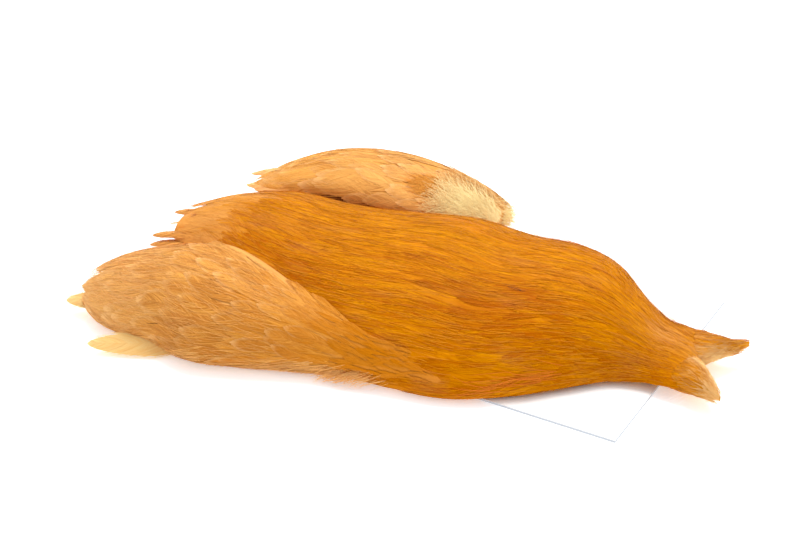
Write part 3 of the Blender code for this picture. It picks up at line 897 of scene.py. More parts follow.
# The soft mass under the feathers: its rows and columns, over what lengths it closes at its ends,
# and the width and the length of its streaks.
BODY_ROWS = 100
BODY_COLUMNS = 72
BODY_TAIL_CLOSES = 9.0
BODY_ROOT_CLOSES = 3.0
BODY_STREAK = 0.28
BODY_STREAK_LENGTH = 5.0


def down_body(name, tract, tail_x, root_x, shrink, material, slot, **looks):
    """The soft mass under the feathers: a closed mound a little inside the bank's own surface.

    Its skirts are joined straight across underneath, and it shrinks to half at both ends. The looks
    are masks by name, each as one value or as a function of x and share.
    """
    rows, columns = BODY_ROWS, BODY_COLUMNS
    x = np.linspace(tail_x, root_x, rows)[:, None]
    clear = tract.clear_at(x)
    across = np.linspace(0.0, 1.0, columns)[None, :]
    x, share = np.broadcast_arrays(x, clear + (1.0 - clear) * across)
    points, out = tract.read(x, share, tract.grid, tract.out)
    points = points - shrink * unit(out)
    middle = points.mean(axis=1, keepdims=True)
    inside = np.minimum((x - tail_x) / BODY_TAIL_CLOSES, (root_x - x) / BODY_ROOT_CLOSES)
    points = middle + (points - middle) * (1.0 - 0.5 * ease(1.0 - inside)[..., None])
    points = off_floor(np.concatenate([points.reshape(-1, 3), middle[[0, -1], 0]]))
    c = np.arange(columns)
    d = (c + 1) % columns
    last = (rows - 1) * columns
    tail = np.stack([d, c, np.full(columns, rows * columns)], axis=-1)
    root = np.stack([last + c, last + d, np.full(columns, rows * columns + 1)], axis=-1)
    faces = [grid_faces(rows, columns, closed=True), np.concatenate([tail, root])]
    masks = {mask: np.zeros(len(points)) for mask in Sheaf.MASKS}
    masks["line"][:-2] = (share * tract.length_at(x) / BODY_STREAK).ravel()
    masks["reach"][:-2] = x.ravel() / BODY_STREAK_LENGTH
    for mask, look in looks.items():
        masks[mask][:-2] = look(x.ravel(), share.ravel()) if callable(look) else look
    return mesh_piece(name, points, faces, masks, material)


# Noise over the plumage: how it is stretched along x, y and z, in waves a metre for the wide
# streaks and the bloom, and along line, reach and plume for the fine ones. The bloom is a
# painted sheen of greyish patches, and shows where its noise is over BLOOM_FROM.
FINE_STRETCH = (0.4, 0.7, 3.7)
WIDE_STRETCH = (16.0, 150.0, 150.0)
BLOOM_STRETCH = (38.0, 110.0, 110.0)
BLOOM_FROM = 0.55
BLOOM_STEEPNESS = 6.0
PLUME_ROUGHNESS = 0.5
PLUME_GLOSS = 0.06
RELIEF_STRENGTH = 0.5
RELIEF_DEPTH = 0.15
HAIR_ROUGHNESS = 0.6


def plume_group():
    """The dye of a plume: colours, shade and fade in, one colour and a relief out.

    The barbs make fine streaks: noise that changes fast from barb to barb and slowly along one,
    partly their own tone and partly painted sheen. Wider soft streaks follow the cape, and a
    sparse greyish bloom lies over them as painted sheen.
    """
    name = "Plume Dye"
    if name in bpy.data.node_groups:
        return bpy.data.node_groups[name]
    group = bpy.data.node_groups.new(name, "ShaderNodeTree")
    face = group.interface
    for label in ("Deep", "Bright", "Pale", "Stain", "Bloom"):
        face.new_socket(label, in_out="INPUT", socket_type="NodeSocketColor")
    for label in ("Shade", "Fade", "Stained", "Fine Streaks", "Wide Streaks", "Bloom Strength"):
        face.new_socket(label, in_out="INPUT", socket_type="NodeSocketFloat")
    face.new_socket("Barb", in_out="INPUT", socket_type="NodeSocketVector")
    face.new_socket("Colour", in_out="OUTPUT", socket_type="NodeSocketColor")
    face.new_socket("Relief", in_out="OUTPUT", socket_type="NodeSocketFloat")
    nodes, links = group.nodes, group.links
    given = nodes.new("NodeGroupInput").outputs
    leave = nodes.new("NodeGroupOutput")
    where = nodes.new("ShaderNodeTexCoord").outputs["Object"]

    def noise(vector, stretch, detail):
        mapping = nodes.new("ShaderNodeMapping")
        mapping.inputs["Scale"].default_value = stretch
        links.new(vector, mapping.inputs["Vector"])
        texture = nodes.new("ShaderNodeTexNoise")
        texture.inputs["Scale"].default_value = 1.0
        texture.inputs["Detail"].default_value = detail
        links.new(mapping.outputs["Vector"], texture.inputs["Vector"])
        return texture.outputs["Fac"]

    def math_node(operation, *values):
        node = nodes.new("ShaderNodeMath")
        node.operation = operation
        for socket, value in zip(node.inputs, values):
            if isinstance(value, bpy.types.NodeSocket):
                links.new(value, socket)
            else:
                socket.default_value = value
        return node.outputs[0]

    def streaked(streaks, strength, shade):
        return math_node("MULTIPLY_ADD", math_node("SUBTRACT", streaks, 0.5), strength, shade)

    def mix(factor, first, second):
        node = nodes.new("ShaderNodeMix")
        node.data_type = "RGBA"
        links.new(factor, node.inputs["Factor"])
        links.new(first, node.inputs["A"])
        links.new(second, node.inputs["B"])
        return node.outputs["Result"]

    fine = noise(given["Barb"], FINE_STRETCH, 2.0)
    wide = noise(where, WIDE_STRETCH, 3.0)
    shade = streaked(fine, given["Fine Streaks"], given["Shade"])
    shade = streaked(wide, given["Wide Streaks"], shade)
    dyed = mix(shade, given["Deep"], given["Bright"])
    dyed = mix(given["Fade"], dyed, given["Pale"])
    dyed = mix(given["Stained"], dyed, given["Stain"])
    bloom = math_node("SUBTRACT", noise(where, BLOOM_STRETCH, 4.0), BLOOM_FROM)
    bloom = math_node("MULTIPLY", bloom, BLOOM_STEEPNESS)
    bloom.node.use_clamp = True
    dyed = mix(math_node("MULTIPLY", bloom, given["Bloom Strength"]), dyed, given["Bloom"])
    links.new(dyed, leave.inputs["Colour"])
    links.new(fine, leave.inputs["Relief"])
    return group


def plume_material(name, dyes, fine, wide, bloom_strength):
    """Feather keratin: the plume dye as base colour, a soft gloss in its own hue, and fine relief.

    The dyes are the deep, bright, pale, stain and bloom colours.
    """
    material = bpy.data.materials.new(name)
    material.use_nodes = True
    nodes, links = material.node_tree.nodes, material.node_tree.links
    shader = nodes["Principled BSDF"]
    shader.inputs["Roughness"].default_value = PLUME_ROUGHNESS
    shader.inputs["Specular IOR Level"].default_value = PLUME_GLOSS
    shader.inputs["Specular Tint"].default_value = (*dyes[1], 1.0)
    dye = nodes.new("ShaderNodeGroup")
    dye.node_tree = plume_group()
    for label, colour in zip(("Deep", "Bright", "Pale", "Stain", "Bloom"), dyes):
        dye.inputs[label].default_value = (*colour, 1.0)
    dye.inputs["Fine Streaks"].default_value = fine
    dye.inputs["Wide Streaks"].default_value = wide
    dye.inputs["Bloom Strength"].default_value = bloom_strength
    for mask, output, socket in (
        ("shade", "Fac", "Shade"),
        ("fade", "Fac", "Fade"),
        ("stain", "Fac", "Stained"),
        ("barb", "Vector", "Barb"),
    ):
        reader = nodes.new("ShaderNodeAttribute")
        reader.attribute_name = mask
        links.new(reader.outputs[output], dye.inputs[socket])
    bump = nodes.new("ShaderNodeBump")
    bump.inputs["Strength"].default_value = RELIEF_STRENGTH
    bump.inputs["Distance"].default_value = RELIEF_DEPTH * MM
    links.new(dye.outputs["Relief"], bump.inputs["Height"])
    links.new(bump.outputs["Normal"], shader.inputs["Normal"])
    links.new(dye.outputs["Colour"], shader.inputs["Base Color"])
    return material


def plain_material(name, colour, roughness, specular=0.2):
    """A plain matt surface."""
    material = bpy.data.materials.new(name)
    material.use_nodes = True
    shader = material.node_tree.nodes["Principled BSDF"]
    shader.inputs["Base Color"].default_value = (*colour, 1.0)
    shader.inputs["Roughness"].default_value = roughness
    shader.inputs["Specular IOR Level"].default_value = specular
    return material


def cape_material(colours):
    """The golden dyed hackle."""
    dyes = (colours.deep, colours.bright, colours.tips, colours.tips, colours.bloom)
    return plume_material("cape_plume", dyes, fine=1.1, wide=0.55, bloom_strength=0.13)


def neck_material(colours):
    """The hackle of the neck points, which pales to velvet."""
    dyes = (colours.deep, colours.bright, colours.velvet, colours.velvet, colours.bloom)
    return plume_material("neck_plume", dyes, fine=1.2, wide=0.5, bloom_strength=0.1)


def shoulder_material(colours, stain):
    """Pale apricot shoulder plumage and its stain: on the far patch, a painted cleft shadow."""
    pale = (colours.shoulder_deep, colours.shoulder_bright, colours.shoulder_edge)
    return plume_material("shoulder_plume", (*pale, stain, colours.bloom), 1.1, 0.9, 0.1)


def fluff_material(colours):
    """The cream down at the roots."""
    dyes = (colours.fluff_deep, colours.fluff, colours.fluff, colours.stain, colours.bloom)
    return plume_material("fluff", dyes, fine=0.5, wide=0.5, bloom_strength=0.0)


def cleft_shadow_material(colours):
    """Painted shadow: the dark brown laid in the cleft."""
    dyes = (colours.cleft, colours.stain, colours.stain, colours.stain, colours.bloom)
    return plume_material("cleft_shadow_plume", dyes, fine=1.0, wide=0.6, bloom_strength=0.0)


def swatch(name, description, red, green, blue):
    """A colour that a user can change, with a default in screen values."""
    return bpy.props.FloatVectorProperty(
        name=name, description=description, subtype="COLOR", default=tone(red, green, blue)
    )


class CapeColours(bpy.types.PropertyGroup):
    """The dyed and natural colours."""

    deep: swatch("Cape deep", "Darkest of the cape's hackle", 178, 90, 0)
    bright: swatch("Cape bright", "Lightest of the cape's hackle", 226, 146, 2)
    tips: swatch("Cape tips", "Tips at the tail of the cape", 228, 160, 84)
    velvet: swatch("Neck velvet", "Pale nap inside the neck fork", 255, 218, 150)
    stain: swatch("Stain", "Orange dye that ran into a shoulder patch's root", 203, 119, 8)
    # Painted sheen: the bloom's greyish patches stand for light on the silky barbs.
    bloom: swatch("Bloom", "Greyish patches where the dye took less", 196, 132, 92)
    shoulder_deep: swatch("Shoulder deep", "Darkest of the shoulder patches", 190, 112, 26)
    shoulder_bright: swatch("Shoulder bright", "Lightest of the shoulder patches", 238, 168, 76)
    shoulder_edge: swatch("Shoulder edge", "Pale rims of the shoulder feathers", 246, 192, 122)
    fluff: swatch("Fluff", "Cream down at the far patch's root", 255, 236, 174)
    fluff_deep: swatch("Fluff deep", "Deeper tone of the down", 252, 204, 118)
    red_hair: swatch("Red hairs", "Stray red-orange hairs of the cape", 224, 120, 26)
    dark_hair: swatch("Dark hairs", "Stray dark hairs", 90, 44, 10)
    # Painted shadow: the dark brown of the cleft and of the far patch's foot beside it.
    cleft: swatch("Cleft down", "Brown down in the cleft beside the far patch", 112, 62, 14)
    skin: swatch("Skin", "Dried skin", 234, 172, 72)
    card: swatch("Card", "Backing card", 254, 254, 254)
    # Painted shade: the grey of the card's sides, which face away from the light.
    card_side_shade: swatch("Card edge", "Cut edge of the backing card", 200, 203, 208)
    floor: swatch("Floor", "Floor of the stage", 246, 250, 255)


class CapeSizes(bpy.types.PropertyGroup):
    """The sizes of the feathers."""

    hackle_length: bpy.props.FloatProperty(
        name="Hackle length", description="Length of the cape's longest feathers",
        default=0.048, unit="LENGTH",
    )
    covert_length: bpy.props.FloatProperty(
        name="Covert length", description="Length of the shoulder feathers",
        default=0.038, unit="LENGTH",
    )
    hackle_barbs: bpy.props.IntProperty(
        name="Hackle barbs", description="Barbs on each side of a cape feather", default=22, min=4
    )
    covert_barbs: bpy.props.IntProperty(
        name="Covert barbs", description="Barbs on each side of a shoulder feather",
        default=56, min=4,
    )


class AddCape(bpy.types.Operator):
    """Lay the golden hackle of the cape"""

    bl_idname = "cape.add_cape"
    bl_label = "Cape"

    PARTS = ("neck", "collar", "back", "tail")
    PARTED_AT = (200.0, 70.0, 40.0, 4.0, -200.0)

    def execute(self, context):
        colours, sizes = context.scene.cape_colours, context.scene.cape_sizes
        plume = cape_material(colours)
        body = down_body(
            "cape_down", CAPE, -87.0, 94.5, 0.02, plume, "cape_feathers",
            # Painted shade and light in broad patches, as on the hackle.
            shade=lambda x, share: 0.5 + soft_patches(x, share, CAPE_SHADE_PATCHES),
            fade=lambda x, share: (
                0.55 * ease((-60.0 - x) / 22.0) + soft_patches(x, share, FORK_PATCHES)
            ),
        )
        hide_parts("cape_feathers")
        rng = np.random.default_rng(21)
        make = Make(
            barbs=sizes.hackle_barbs, start=0.3, angle=7.0, bow=0.3, width=0.24, sink=0.12,
            lift=0.05, camber=0.03, vane_part=0.0, full_to=0.5, taper=0.8, ruffle=0.03, roll=0.2,
            contrast=0.2, shaft=0.22,
        )
        roots = self.hackle_roots(sizes.hackle_length / MM, rng)
        for part, ahead, behind in zip(self.PARTS, self.PARTED_AT, self.PARTED_AT[1:]):
            chosen = pick(roots, (roots["x"] <= ahead) & (roots["x"] > behind))
            feather_piece(f"cape_hackle_{part}", CAPE, make, chosen, rng, plume, "cape_feathers")
        self.add_strays(plume, colours)
        return {"FINISHED"}

    def hackle_roots(self, length, rng):
        """Where the hackles grow: small and close at the neck, and longer towards the tail."""

        def grade_at(x):
            return 0.28 + 0.72 * ease((94.0 - x) / 70.0)

        x, share = rows_of_roots(
            CAPE, 98.0, -52.0, lambda x: 7.6 * grade_at(x),
            lambda x: 3.9 * grade_at(x) - 0.5 * ease((x - 40.0) / 20.0), 0.01, 0.99, rng,
        )
        grade = grade_at(x)
        roots = make_roots(
            x, share, rng, length=length * grade, half=4.2 * grade, yaw=0.06, swing=1.5, mottle=0.10
        )
        end_at_tips(roots, *CAPE_ENDS, rng)
        middles, = CAPE.read(x - 0.7 * roots["length"], share, CAPE.grid)
        roots = pick(roots, ~NEAR.inside(middles, 0.72))
        x, share, length = roots["x"], roots["share"], roots["length"]
        roots["fade"] = 0.8 * ease((-66.0 - (x - length)) / 24.0)
        roots["fade"] += soft_patches(x, share, FORK_PATCHES)
        # Painted shade and light: the near flank darker, the top lighter, and the broad patches.
        roots["shade"] += 0.15 - 0.3 * ease((share - 0.35) / 0.45)
        roots["shade"] += soft_patches(x - 0.65 * length, share, CAPE_SHADE_PATCHES)
        return roots

    def add_strays(self, plume, colours):
        """Single hairs over the hackle: pale ones all over, and a red streak on the near side."""
        rng = np.random.default_rng(24)
        count = 2600
        x, share = rng.uniform(-60.0, 92.0, count), rng.uniform(0.01, 0.99, count)
        roots = make_roots(x, share, rng, length=9.0, yaw=0.05, swing=0.8, mottle=0.3)
        roots["fade"] = rng.uniform(0.0, 0.32, count)
        hair_piece(
            "cape_stray_hairs", CAPE, roots, rng, plume, "cape_feathers",
            rise=0.25, width=0.13, steps=6,
        )
        count = 36
        x = rng.uniform(38.0, 58.0, count)
        share = 0.955 - 0.035 * (x - 38.0) / 20.0 + rng.normal(0.0, 0.012, count)
        roots = make_roots(x, share, rng, length=11.0, yaw=0.08, swing=1.0, mottle=0.3)
        red = plain_material("red_hairs", colours.red_hair, HAIR_ROUGHNESS)
        hair_piece("red_hairs", CAPE, roots, rng, red, "cape_feathers", rise=0.5, width=0.16)


@dataclass
class NeckPoint:
    """The looks of one neck point: where its pale velvet lies, and how light its feathers are.

    The velvet's paleness rises to most over a width of shares from edge inwards, and over 6 mm from
    velvet_x on, and the last 5 mm before tip_x are paler by tip. The feathers are as light as
    shade, and lighter by glow at the tip.
    """

    label: str
    tract: Tract
    side: int
    tip_x: float
    velvet_x: float
    edge: float
    width: float
    most: float
    tip: float
    shade: float
    glow: float

    def paleness(self, x, share):
        """How pale the point is at x and share."""
        inner = share if self.side > 0 else 1.0 - share
        band = self.most * ease((inner - self.edge) / self.width)
        band = band * ease((x - self.velvet_x) / 6.0)
        return np.clip(band + self.tip * ease((x - self.tip_x + 5.0) / 4.0), 0.0, 1.0)

    def mottled(self, x, share, rng):
        """The paleness with a speckle that differs from feather to feather."""
        speckle = rng.normal(0.0, 0.16, len(x)) * ease((x - 92.0) / 6.0)
        return np.clip(self.paleness(x, share) + speckle, 0.0, 1.0)

    def lightness(self, x, share):
        """How light the point is at x, the same at every share."""
        return self.shade + self.glow * ease((x - 91.0) / 9.0)


NECK_POINTS = (
    NeckPoint("near", NEAR_POINT, -1, 104.8, 90.5, 0.46, 0.34, 1.0, 0.5, 0.62, 0.3),
    NeckPoint("far", FAR_POINT, 1, 106.0, 91.5, 0.54, 0.46, 0.8, -0.5, 0.95, 0.0),
)


class AddNeckPoints(bpy.types.Operator):
    """Lay the short feathers and the pale nap of the two neck points"""

    bl_idname = "cape.add_neck_points"
    bl_label = "Neck points"

    def execute(self, context):
        plume = neck_material(context.scene.cape_colours)
        make = Make(
            barbs=12, steps=3, start=0.12, width=0.20, sink=0.15, lift=0.12, camber=0.06,
            vane_part=0.0, full_to=0.5, shaft=0.22, contrast=0.18,
        )
        for point in NECK_POINTS:
            rng = np.random.default_rng(61 + point.side)
            sheaf = Sheaf()
            x, share = rows_of_roots(point.tract, point.tip_x, 82.0, 1.5, 1.0, 0.01, 0.99, rng)
            grade = 0.5 + 0.5 * ease((104.0 - x) / 14.0)
            roots = make_roots(
                x, share, rng, length=9.0 * grade, half=1.2 * grade, yaw=0.12, swing=0.5,
                mottle=0.10,
            )
            roots["fade"] = point.mottled(x, share, rng)
            roots["shade"] += point.lightness(x, share) - 0.5
            down_body(
                f"{point.label}_point_down", point.tract, 80.0, point.tip_x, 0.05, plume,
                "cape_feathers", shade=point.lightness, fade=point.paleness,
            )
            add_feathers(sheaf, on_tract(point.tract, roots), make, roots, rng)
            self.add_nap(sheaf, point, rng)
            self.add_strays(sheaf, point, rng)
            sheaf.mesh(f"{point.label}_neck_point", plume, "cape_feathers")
        return {"FINISHED"}

    def add_nap(self, sheaf, point, rng):
        """The velvet: short hairs where the point is pale."""
        count = 1500
        x, share = rng.uniform(84.0, point.tip_x, count), rng.uniform(0.0, 1.0, count)
        roots = make_roots(x, share, rng, length=3.2, yaw=0.5, swing=0.6, mottle=0.2)
        roots["fade"] = point.mottled(x, share, rng)
        roots["shade"] += point.glow
        roots = pick(roots, roots["fade"] > 0.35)
        add_hairs(sheaf, on_tract(point.tract, roots), roots, 0.5, 0.12, rng, steps=4)

    def add_strays(self, sheaf, point, rng):
        """Longer single hairs all over the point."""
        count = 420
        x, share = rng.uniform(84.0, point.tip_x, count), rng.uniform(0.02, 0.98, count)
        roots = make_roots(x, share, rng, length=6.0, yaw=0.15, swing=0.6, mottle=0.3)
        paler = rng.uniform(0.0, 0.3, count) * ease((x - 91.0) / 6.0)
        roots["fade"] = np.minimum(point.paleness(x, share) + paler, 1.0)
        add_hairs(sheaf, on_tract(point.tract, roots), roots, 0.2, 0.14, rng)


def dye_and_shade_near(roots):
    """The near patch: stained where it leaves the cape, painted shade below, paler to the tail."""
    x, share = roots["x"], roots["share"]
    roots["stain"] = 0.6 * ease((x + 30.0) / 34.0)
    # Painted shade: the lower side darker, away from the light.
    roots["shade"] -= 0.4 * ease((share - 0.6) / 0.25)
    roots["shade"] += soft_patches(x - 0.6 * roots["length"], share, NEAR_SHADE_PATCHES)
    roots["fade"] += 0.1 + 0.35 * ease((-30.0 - x) / 40.0)


def dye_far(roots):
    """The far patch: light, and palest at its root."""
    roots["shade"] += 0.25
    roots["fade"] += 0.15 + 0.25 * ease((roots["x"] + 30.0) / 20.0)


class AddShoulders(bpy.types.Operator):
    """Lay the two pale shoulder patches"""

    bl_idname = "cape.add_shoulders"
    bl_label = "Shoulder patches"

    def execute(self, context):
        colours, sizes = context.scene.cape_colours, context.scene.cape_sizes
        near_plume = shoulder_material(colours, colours.stain)
        body = down_body(
            "near_down", NEAR, -99.0, 27.0, 0.15, near_plume, "near_shoulder_feathers",
            # Painted shade along the near patch's lower edge, through its patches.
            shade=lambda x, share: 0.5 + soft_patches(x, share, NEAR_SHADE_PATCHES),
            fade=0.3,
            stain=lambda x, share: 0.8 * ease((x + 34.0) / 40.0),
        )
        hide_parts("near_shoulder_feathers")
        self.add_coverts(
            "near", NEAR, -9.0, -72.0, lambda x: NEAR.clear_at(x) + 0.075, 0.99, NEAR_ENDS,
            dye_and_shade_near, 44, sizes, near_plume,
        )
        # On the far patch the stain mask lays the cleft's painted shadow.
        far_plume = shoulder_material(colours, colours.cleft)
        body = down_body(
            "far_down", FAR, -73.0, 9.5, 0.15, far_plume, "far_shoulder_feathers",
            shade=0.5,
            fade=lambda x, share: (
                0.2 + 0.8 * ease((x + 12.0) / 8.0) * ease((share - 0.50) / 0.12)
            ),
            # Painted shadow on the patch's foot beside the cleft.
            stain=lambda x, share: (
                ease((share - 0.82) / 0.02) * ease((x + 60.0) / 10.0) * ease((-18.0 - x) / 8.0)
            ),
        )
        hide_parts("far_shoulder_feathers")
        self.add_coverts(
            "far", FAR, 4.0, -52.0, lambda x: FAR.clear_at(x) + 0.02, 0.81, FAR_ENDS,
            dye_far, 52, sizes, far_plume,
        )
        self.add_near_edge(near_plume)
        self.add_near_fringe(near_plume)
        self.add_near_nap(near_plume)
        return {"FINISHED"}

    def add_coverts(self, label, tract, first_x, last_x, low, high, ends, dye, seed, sizes, plume):
        """Broad feathers in rows over one patch, from first_x back to last_x."""
        rng = np.random.default_rng(seed)
        make = Make(
            barbs=sizes.covert_barbs, steps=5, angle=15.0, bow=0.45, start=0.15, width=0.20,
            clump=9, gather=0.15, full_to=0.35, lift=0.15, camber=0.12, sink=0.16, rim=0.6,
            ruffle=0.04, vane_part=0.92, ragged=0.06, root_shade=0.26, contrast=0.28,
        )
        x, share = rows_of_roots(tract, first_x, last_x, 5.4, 4.5, low, high, rng)
        grade = 0.5 + 0.5 * ease((first_x - x) / 32.0)
        roots = make_roots(
            x, share, rng, length=sizes.covert_length / MM * grade, half=6.2 * grade, yaw=0.10,
            swing=1.6, mottle=0.16,
        )
        along_clear_edge(tract, roots, 0.4)
        end_at_tips(roots, *ends, rng)
        # For the near patch this also paints shade on the lower side.
        dye(roots)
        slot = f"{label}_shoulder_feathers"
        feather_piece(f"{label}_coverts", tract, make, roots, rng, plume, slot)

    def add_near_edge(self, plume):
        """Narrow feathers along the edge where the near patch lies on the cape."""
        rng = np.random.default_rng(45)
        make = Make(
            barbs=16, steps=3, start=0.25, angle=8.0, width=0.22, sink=0.15, lift=0.06,
            camber=0.05, vane_part=0.0, full_to=0.4, taper=0.8, contrast=0.15,
        )
        x, share = rows_of_roots(
            NEAR, -8.0, -72.0, 1.8, 1.3, lambda x: NEAR.clear_at(x) + 0.035,
            lambda x: NEAR.clear_at(x) + 0.13, rng,
        )
        roots = make_roots(
            x, share, rng, length=15.0, half=1.3, yaw=0.04, swing=0.5, mottle=0.12
        )
        roots["fade"] = 0.2 + 0.35 * ease(1.0 - (share - NEAR.clear_at(x)) / 0.06)
        roots["stain"] = 0.6 * ease((x + 30.0) / 34.0)
        along_clear_edge(NEAR, roots, 0.3)
        feather_piece("near_edge", NEAR, make, roots, rng, plume, "near_shoulder_feathers")

    def add_near_fringe(self, plume):
        """Locks of pale barbs that hang from the near patch's lower edge."""
        rng = np.random.default_rng(46)
        locks, hairs = 18, 44
        count = locks * hairs
        at_x = np.repeat(np.linspace(-72.0, -8.0, locks) + rng.normal(0.0, 1.2, locks), hairs)
        at_share = np.repeat(rng.uniform(0.88, 0.95, locks), hairs)
        turned = np.repeat(rng.normal(0.26, 0.10, locks), hairs)
        x, share = at_x + rng.normal(0.0, 1.8, count), at_share + rng.normal(0.0, 0.014, count)
        roots = make_roots(x, share, rng, length=12.0, yaw=0.06, swing=0.6, mottle=0.2)
        roots["yaw"] += turned + 0.02 * (x - at_x)
        roots["fade"] = rng.uniform(0.2, 0.8, count)
        slot = "near_shoulder_feathers"
        hair_piece("near_fringe", NEAR, roots, rng, plume, slot, rise=0.5, width=0.18)

    def add_near_nap(self, plume):
        """Fine pale barbs over the tail end of the near patch, and a few over the rest."""
        rng = np.random.default_rng(47)
        few, many = 400, 1400
        count = few + many
        x = np.append(-60.0 + 34.0 * rng.random(few) ** 1.6, -66.0 - 28.0 * rng.random(many) ** 0.7)
        share = NEAR.clear_at(x) + 0.07 + (0.90 - NEAR.clear_at(x)) * rng.random(count)
        roots = make_roots(x, share, rng, length=8.0, yaw=0.12, swing=0.8, mottle=0.3)
        roots["fade"] = rng.uniform(0.2, 0.5, count)
        roots["fade"] += 0.5 * rng.random(count) * ease((-60.0 - x) / 16.0)
        slot = "near_shoulder_feathers"
        hair_piece("near_nap", NEAR, roots, rng, plume, slot, rise=0.25, width=0.16, steps=5)


class AddNearRoot(bpy.types.Operator):
    """Lay the narrow orange feathers where the near patch grows out of the cape"""

    bl_idname = "cape.add_near_root"
    bl_label = "Root of the near patch"

    def execute(self, context):
        colours = context.scene.cape_colours
        plume = shoulder_material(colours, colours.stain)
        make = Make(
            barbs=22, start=0.25, angle=9.0, bow=0.35, width=0.24, sink=0.12, lift=0.08,
            camber=0.05, vane_part=0.0, full_to=0.45, taper=0.8, rim=0.2, contrast=0.2,
        )
        rng = np.random.default_rng(77)
        x, share = rows_of_roots(
            NEAR, 27.0, -20.0, 2.8, 1.9, lambda x: NEAR.clear_at(x) + 0.02, 0.99, rng
        )
        grade = 0.4 + 0.6 * ease((20.0 - x) / 34.0)
        roots = make_roots(
            x, share, rng, length=28.0 * grade, half=2.4 * grade, yaw=0.08, swing=1.6, mottle=0.12
        )
        along_clear_edge(NEAR, roots, 0.3)
        stain = 0.2 + 0.7 * ease((x + 10.0) / 22.0) + rng.normal(0.0, 0.08, len(x))
        roots["stain"] = np.clip(stain, 0.0, 1.0)
        feather_piece("near_root", NEAR, make, roots, rng, plume, "near_shoulder_feathers")
        return {"FINISHED"}


class AddFarRoot(bpy.types.Operator):
    """Lay the cream fluff at the root of the far patch, and the painted shadow in the cleft"""

    bl_idname = "cape.add_far_root"
    bl_label = "Fluff of the far patch"

    def execute(self, context):
        colours = context.scene.cape_colours
        rng = np.random.default_rng(88)
        self.add_fluff(colours, rng)
        self.add_spot(colours, rng)
        self.add_cleft_shadow(colours, rng)
        return {"FINISHED"}

    def add_fluff(self, colours, rng):
        """Cream hairs over the root's near side, and stained ones over its far side."""
        sheaf = Sheaf()
        count = 2600
        x = -8.0 + 18.0 * rng.random(count) ** 0.7
        share = rng.uniform(0.54, 0.98, count)
        roots = make_roots(x, share, rng, length=10.0, yaw=0.45, swing=2.5, mottle=0.25)
        roots["fade"] = rng.uniform(0.2, 0.9, count)
        cream = soft_patches(x, share, CREAM_PATCHES)
        roots["shade"] += 0.25 + 0.35 * cream
        roots["stain"] = rng.uniform(0.10, 0.42, count) * (1.0 - cream)
        add_hairs(sheaf, on_tract(FAR, roots), roots, 1.1, 0.16, rng)
        count = 1500
        x, share = rng.uniform(-9.0, 10.0, count), rng.uniform(0.03, 0.60, count)
        roots = make_roots(x, share, rng, length=9.0, yaw=0.3, swing=1.5, mottle=0.25)
        roots["stain"] = rng.uniform(0.3, 0.8, count) * (1.0 - 0.5 * ease((share - 0.45) / 0.15))
        add_hairs(sheaf, on_tract(FAR, roots), roots, 0.5, 0.16, rng)
        sheaf.mesh("far_root_fluff", fluff_material(colours), "far_shoulder_feathers")

    def add_spot(self, colours, rng):
        """The orange spot behind the fluff."""
        count = 700
        x, share = -11.5 + rng.normal(0.0, 3.2, count), 0.60 + rng.normal(0.0, 0.035, count)
        roots = make_roots(x, share, rng, length=7.0, yaw=0.12, swing=0.8, mottle=0.3)
        roots["stain"] = rng.uniform(0.0, 0.2, count)
        roots["shade"] += 0.2
        plume, slot = shoulder_material(colours, colours.stain), "far_shoulder_feathers"
        hair_piece(
            "far_orange_spot", FAR, roots, rng, plume, slot, rise=0.5, width=0.2, roll=0.3
        )

    def add_cleft_shadow(self, colours, rng):
        """Painted shadow: dark hairs on the patch's side of the cleft, a brown mass at its bottom.
        """
        count = 3600
        x = rng.uniform(-54.0, -24.0, count)
        share = 0.83 + 0.16 * rng.random(count)
        roots = make_roots(x, share, rng, length=5.0, yaw=0.1, swing=0.2, mottle=0.3)
        dark, slot = plain_material("cleft_shadow_hairs", colours.cleft, 0.8), "far_shoulder_feathers"
        hair_piece(
            "cleft_shadow_hairs", FAR, roots, rng, dark, slot, rise=0.0, width=0.7, steps=4, roll=0.1
        )
        down_body("cleft_shadow_mass", CLEFT_SHADOW_BANK, -60.0, 8.0, 0.0, cleft_shadow_material(colours), slot, shade=0.2)


class AddTufts(bpy.types.Operator):
    """Lay the tufts and stray hairs that stand off from the patches"""

    bl_idname = "cape.add_tufts"
    bl_label = "Tufts and stray hairs"

    def execute(self, context):
        colours = context.scene.cape_colours
        shoulder, fluff = shoulder_material(colours, colours.stain), fluff_material(colours)
        golden = cape_material(colours)
        finish = {
            "hanging_tuft": shoulder,
            "foot_fringe": shoulder,
            "far_skin_down": fluff,
            "far_end_fluff": fluff,
            "crest_wisps": golden,
            "neck_wisps": golden,
            "white_hairs": plain_material("white_hairs", colours.card, HAIR_ROUGHNESS),
            "dark_hairs": plain_material("dark_hairs", colours.dark_hair, HAIR_ROUGHNESS),
        }
        for k, (name, *sizes, slot) in enumerate(TUFTS):
            sheaf = Sheaf()
            add_tuft(sheaf, *sizes, np.random.default_rng(TUFT_SEED + k))
            sheaf.mesh(name, finish[name], slot)
        return {"FINISHED"}


